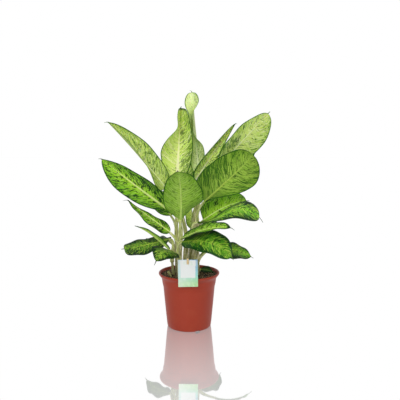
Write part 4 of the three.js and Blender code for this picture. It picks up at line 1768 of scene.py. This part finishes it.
@dataclass(frozen=True)
class CardPrint:
    """Smooth card with a blue-to-green border, a plain pale panel and soft green strokes."""

    sky: Colour = linear(176, 214, 220)
    blue: Colour = linear(92, 146, 190)
    aqua: Colour = linear(140, 206, 200)
    green: Colour = linear(158, 206, 140)
    leafy: Colour = linear(190, 220, 176)
    panel: Colour = linear(220, 222, 220)
    low_band: Band = (0.05, 0.55)  # shares of the height, as the next two
    high_band: Band = (0.45, 0.95)
    corner_band: Band = (0.3, 1.0)
    corner: float = 0.9
    left_fade: float = 0.45
    wash_scale: float = 0.12
    wash_band: Band = (0.45, 0.7)
    wash: float = 0.3
    stroke_scale: float = 0.5
    stroke_bend: Pair = (0.12, 2.0)
    stroke_band: Band = (0.0, 0.9)
    hill: Point = (0.13, 2.5, 11.0)  # how long, how high, and its middle height
    grass: float = 0.6
    side_border: Band = (6.8, 6.2)  # millimetres, as the next two
    low_border: Band = (24.0, 24.8)
    top_border: Band = (10.4, 9.6)
    panel_strength: float = 0.95
    fibre_scale: float = 1400
    roughness: float = 0.38
    fibre_roughness: float = 0.1
    bump: Pair = (0.12, 0.0002)  # strength, and depth in metres

    def make(self, width: float, height: float) -> bpy.types.Material:
        """Puts the print together.

        Args:
            width: The card's width in millimetres.
            height: Its height.

        Returns:
            The material, which reads as "sheet" the place on the card in millimetres, and whether
            it is the front.
        """
        paint = Paint(bpy.data.materials.new("card_print"))
        x, z, front = paint.parts(paint.attribute("sheet"))
        up = z / height
        side = (x / width).step(-0.5, 0.5)
        wash = paint.noise(paint.vector(x, z, 3.0), self.wash_scale, 3)
        fineness, sway = self.stroke_bend
        strokes = (x * self.stroke_scale + (z * fineness).wave() * sway).wave()
        fineness, rise, level = self.hill
        hill = (x * fineness + 1.0).wave() * rise + level
        grass = (hill - z).step(-1.0, 1.0) * strokes.step(*self.stroke_band)
        inner_x = 1 - abs(x).step(*(width / 2 - end for end in self.side_border))
        inner_z = 1 - z.step(*(height - end for end in self.top_border))
        inner = inner_x * (z.step(*self.low_border) * inner_z)
        face = paint.layers(
            self.green,
            (up.step(*self.low_band), self.aqua),
            (up.step(*self.high_band), self.sky),
            ((1 - side) * self.left_fade, self.panel),
            (side * up.step(*self.corner_band) * self.corner, self.blue),
            (wash.step(*self.wash_band) * self.wash, self.panel),
            (grass * self.grass, self.leafy),
            (inner * self.panel_strength, self.panel),
        )
        colour = paint.mix(front, self.panel, face)
        fibres = paint.noise(paint.place(), self.fibre_scale)
        roughness = self.roughness + fibres * self.fibre_roughness
        return paint.surface(colour, roughness, paint.bump(fibres, *self.bump))


@dataclass(frozen=True)
class StakeWood:
    """Pale unfinished wood with fine straight grain."""

    pale: Colour = linear(228, 204, 158)
    grain: Colour = linear(190, 156, 106)
    line_scale: Pair = (2.2, 0.08)  # across and along the slip
    line_band: Band = (0.42, 0.66)
    roughness: float = 0.7
    bump: Pair = (0.4, 0.0003)  # strength, and depth in metres
    gloss: float = 0.3

    def make(self) -> bpy.types.Material:
        """Puts the wood together.

        Returns:
            The material, which reads the place on the slip as "sheet", in millimetres.
        """
        paint = Paint(bpy.data.materials.new("stake_wood"))
        x, z, _ = paint.parts(paint.attribute("sheet"))
        wide, tall = self.line_scale
        lines = paint.noise(paint.vector(x * wide, z * tall, 1.0), 1.0, 4, 0.6)
        colour = paint.mix(lines.step(*self.line_band), self.pale, self.grain)
        normal = paint.bump(lines, *self.bump)
        return paint.surface(colour, self.roughness, normal, self.gloss)


@dataclass
class Label:
    """The care card hung on its wooden stake at the front of the lip."""

    width: float = 52
    height: float = 73
    thickness: float = 0.7
    bottom: float = 134.5
    middle: float = -1.5
    tilt: float = -0.8
    slot_width: float = 6.5
    slot_below_top: float = 9
    slot_reach: float = 6  # how deep its cutter is, in thicknesses of the card
    corner: float = 1.2
    edge: float = 0.12
    cuts: int = 12
    warp: float = 0.5
    corner_segments: int = 5
    edge_segments: int = 2
    sharp_degrees: float = 30
    stake_width: float = 5
    stake_thickness: float = 1.3
    stake_lean: float = 20
    stake_below: float = 120
    stake_above: float = 14
    stake_corner: float = 1.8
    stake_edge: float = 0.25
    stake_cuts: int = 8

    def slot(self) -> Vector:
        """The middle of the card's slot, in millimetres."""
        y = -(LIP_RADIUS + GAP + self.thickness / 2)
        return Vector((self.middle, y, self.bottom + self.height - self.slot_below_top))

    def slip(
        self, size: Point, corner: float, edge: float, cuts: int
    ) -> tuple[bmesh.types.BMesh, bmesh.types.BMLayerItem]:
        """A flat slip about its middle, with round corners, eased edges and its "sheet" map.

        Args:
            size: Its width, thickness and height in millimetres.
            corner: The radius of its corners in millimetres.
            edge: The width of its eased edges in millimetres.
            cuts: The number of cuts across its height.

        Returns:
            The mesh in millimetres, and the layer of its map.
        """
        mesh = bmesh.new()
        bmesh.ops.create_cube(mesh, size=1, matrix=Matrix.Diagonal((*size, 1)))
        corners = [e for e in mesh.edges if abs(e.verts[0].co.y - e.verts[1].co.y) > edge]
        bevel(mesh, corners, corner, self.corner_segments)
        rims = [e for e in mesh.edges if abs(e.verts[0].co.y - e.verts[1].co.y) < edge]
        bevel(mesh, rims, edge, self.edge_segments)
        for cut in range(1, cuts):
            z = size[2] * (cut / cuts - 0.5)
            geom = mesh.verts[:] + mesh.edges[:] + mesh.faces[:]
            bmesh.ops.bisect_plane(mesh, geom=geom, plane_co=(0, 0, z), plane_no=(0, 0, 1))
        return mesh, mesh.verts.layers.float_vector.new("sheet")

    def build_card(self, finish: CardPrint) -> None:
        """Makes the card, bowed towards the viewer at its top and bottom.

        Args:
            finish: Its print.
        """
        size = (self.width, self.thickness, self.height)
        mesh, sheet = self.slip(size, self.corner, self.edge, self.cuts)
        turn = Matrix.Rotation(math.radians(self.tilt), 4, "Y")
        centre = Vector((0, 0, self.slot_below_top - self.height / 2))
        for vert in mesh.verts:
            x, y, z = vert.co
            vert[sheet] = (x, z + self.height / 2, 1.0 if y < 0 else 0.0)
            lift = self.warp * (z * z - centre.z * centre.z) / (self.height / 2) ** 2
            vert.co = (self.slot() + turn @ (vert.co + centre - Vector((0, lift, 0)))) * MM
        material = finish.make(self.width, self.height)
        card = add_piece(mesh, "care_card", [material], ["card"])
        lean = math.radians(self.stake_lean)
        height = (self.stake_thickness + 2 * GAP) / math.sin(lean) + self.thickness / math.tan(lean)
        cutter = bmesh.new()
        place = Matrix.Translation(self.slot() * MM) @ turn
        depth = self.thickness * self.slot_reach
        shape = Matrix.Diagonal((self.slot_width * MM, depth * MM, height * MM, 1))
        bmesh.ops.create_cube(cutter, size=1, matrix=place @ shape)
        cut_out(card, cutter)
        soften(card, self.sharp_degrees)

    def build_stake(self, wood: StakeWood) -> None:
        """Makes the stake, whose upper end leans out over the card.

        Args:
            wood: Its finish.
        """
        length = self.stake_below + self.stake_above
        size = (self.stake_width, self.stake_thickness, length)
        mesh, sheet = self.slip(size, self.stake_corner, self.stake_edge, self.stake_cuts)
        turn = Matrix.Rotation(math.radians(self.stake_lean), 4, "X")
        centre = Vector((0, 0, (self.stake_above - self.stake_below) / 2))
        for vert in mesh.verts:
            vert[sheet] = (vert.co.x + vert.co.y, vert.co.z, 0)
            vert.co = (self.slot() + turn @ (vert.co + centre)) * MM
        stake = add_piece(mesh, "wooden_slip", [wood.make()], ["stake"])
        soften(stake, self.sharp_degrees)


# The studio


@dataclass(frozen=True)
class Lamp:
    """A soft square light, in metres and watts."""

    place: Point
    size: float
    watts: float


@dataclass
class Studio:
    """A plain pale glossy floor, a white background, soft lights and the camera."""

    camera: Point = (0.0305, -1.45, 0.53)
    camera_down: float = 6.9
    lens: float = 47.925
    sensor: float = 36
    floor_half: float = 12
    floor_roughness: float = 0.03
    floor_glow: float = 1.0
    floor_glow_on_plant: float = 0.3
    mirror: Point = (2.7, 2.4, 0.9)  # how late it grows with the angle, how much, and its most
    sky: float = 0.34
    white: float = 1.0
    aim: Point = (0, 0, 0.33)
    lamps: dict[str, Lamp] = field(default_factory=lambda: {
        "key": Lamp((-0.7, -1.9, 1.5), 1.3, 27),
        "fill": Lamp((1.3, -1.6, 0.7), 1.6, 9),
        "top": Lamp((0.1, 0.0, 2.3), 1.4, 12),
    })

    def build(self) -> None:
        """Sets everything up."""
        self.add_camera()
        self.add_floor()
        self.add_sky()
        self.add_lamps()
        settings = bpy.context.scene.view_settings
        settings.view_transform = "Standard"
        settings.look = "None"

    def add_camera(self) -> None:
        """Places the camera at the photograph's angle."""
        data = bpy.data.cameras.new("camera")
        data.lens, data.sensor_width = self.lens, self.sensor
        camera = add_object("camera", data)
        camera.location = self.camera
        camera.rotation_euler = (math.radians(90 - self.camera_down), 0, 0)
        bpy.context.scene.camera = camera

    def add_floor(self) -> None:
        """Lays the floor, which mirrors more the flatter it is seen, and glows white."""
        mesh = bmesh.new()
        bmesh.ops.create_grid(mesh, x_segments=1, y_segments=1, size=self.floor_half)
        data = to_data(mesh, "floor")
        paint = Paint(bpy.data.materials.new("floor_gloss"))
        white = {"Color": (1, 1, 1, 1)}
        facing = Wire(paint, paint.node("LayerWeight", {"Blend": 0.5}).outputs["Facing"])
        late, much, most = self.mirror
        mirror = (facing**late * much).math("MINIMUM", most)
        glow, dim = (
            paint.node("Emission", {**white, "Strength": strength}).outputs[0]
            for strength in (self.floor_glow, self.floor_glow_on_plant)
        )
        base = paint.node("MixShader", {0: paint.bounced(), 1: glow, 2: dim}).outputs[0]
        polish = {**white, "Roughness": self.floor_roughness}
        gloss = paint.node("BsdfGlossy", polish).outputs[0]
        mixed = paint.node("MixShader", {0: mirror, 1: base, 2: gloss}).outputs[0]
        paint.node("OutputMaterial", {"Surface": mixed})
        data.materials.append(paint.owner)
        floor = add_object("floor", data)

    def add_sky(self) -> None:
        """Surrounds the scene with white, which lights it more softly than it looks."""
        paint = Paint(bpy.data.worlds.new("studio_white"))
        strengths = {"Value": paint.bounced(), "To Min": self.white, "To Max": self.sky}
        strength = paint.node("MapRange", strengths).outputs[0]
        shader = paint.node("Background", {"Color": (1, 1, 1, 1), "Strength": strength})
        paint.node("OutputWorld", {"Surface": shader.outputs[0]})
        bpy.context.scene.world = paint.owner

    def add_lamps(self) -> None:
        """Hangs the lights, turned to the middle of the plant."""
        for name, lamp in self.lamps.items():
            data = bpy.data.lights.new(name, "AREA")
            data.size, data.energy = lamp.size, lamp.watts
            light = add_object(name, data)
            light.location = lamp.place
            aim = Vector(self.aim) - Vector(lamp.place)
            light.rotation_euler = aim.to_track_quat("-Z", "Y").to_euler()


def main() -> None:
    """Builds the plant, its pot and its card, and the studio round them."""
    logging.basicConfig(level=logging.INFO, format="%(name)s %(message)s")
    Studio().build()
    pot = Pot()
    pot.build(PotPlastic())
    Soil(pot).build(SoilEarth())
    Stems().build(StemSkin())
    for number, (name, leaf) in enumerate(LEAVES.items()):
        seed = number * SEED_STEP
        upper = replace(UPPER[leaf.age], **UPPER_TRAITS.get(name, {}))
        under = replace(UNDER[leaf.age], **UNDER_TRAITS.get(name, {}))
        Blade(name, leaf).build(
            upper.make(f"{name}_upper", seed), under.make(f"{name}_under", seed + UNDER_SEED)
        )
    label = Label()
    label.build_card(CardPrint())
    label.build_stake(StakeWood())


if __name__ == "__main__":
    main()
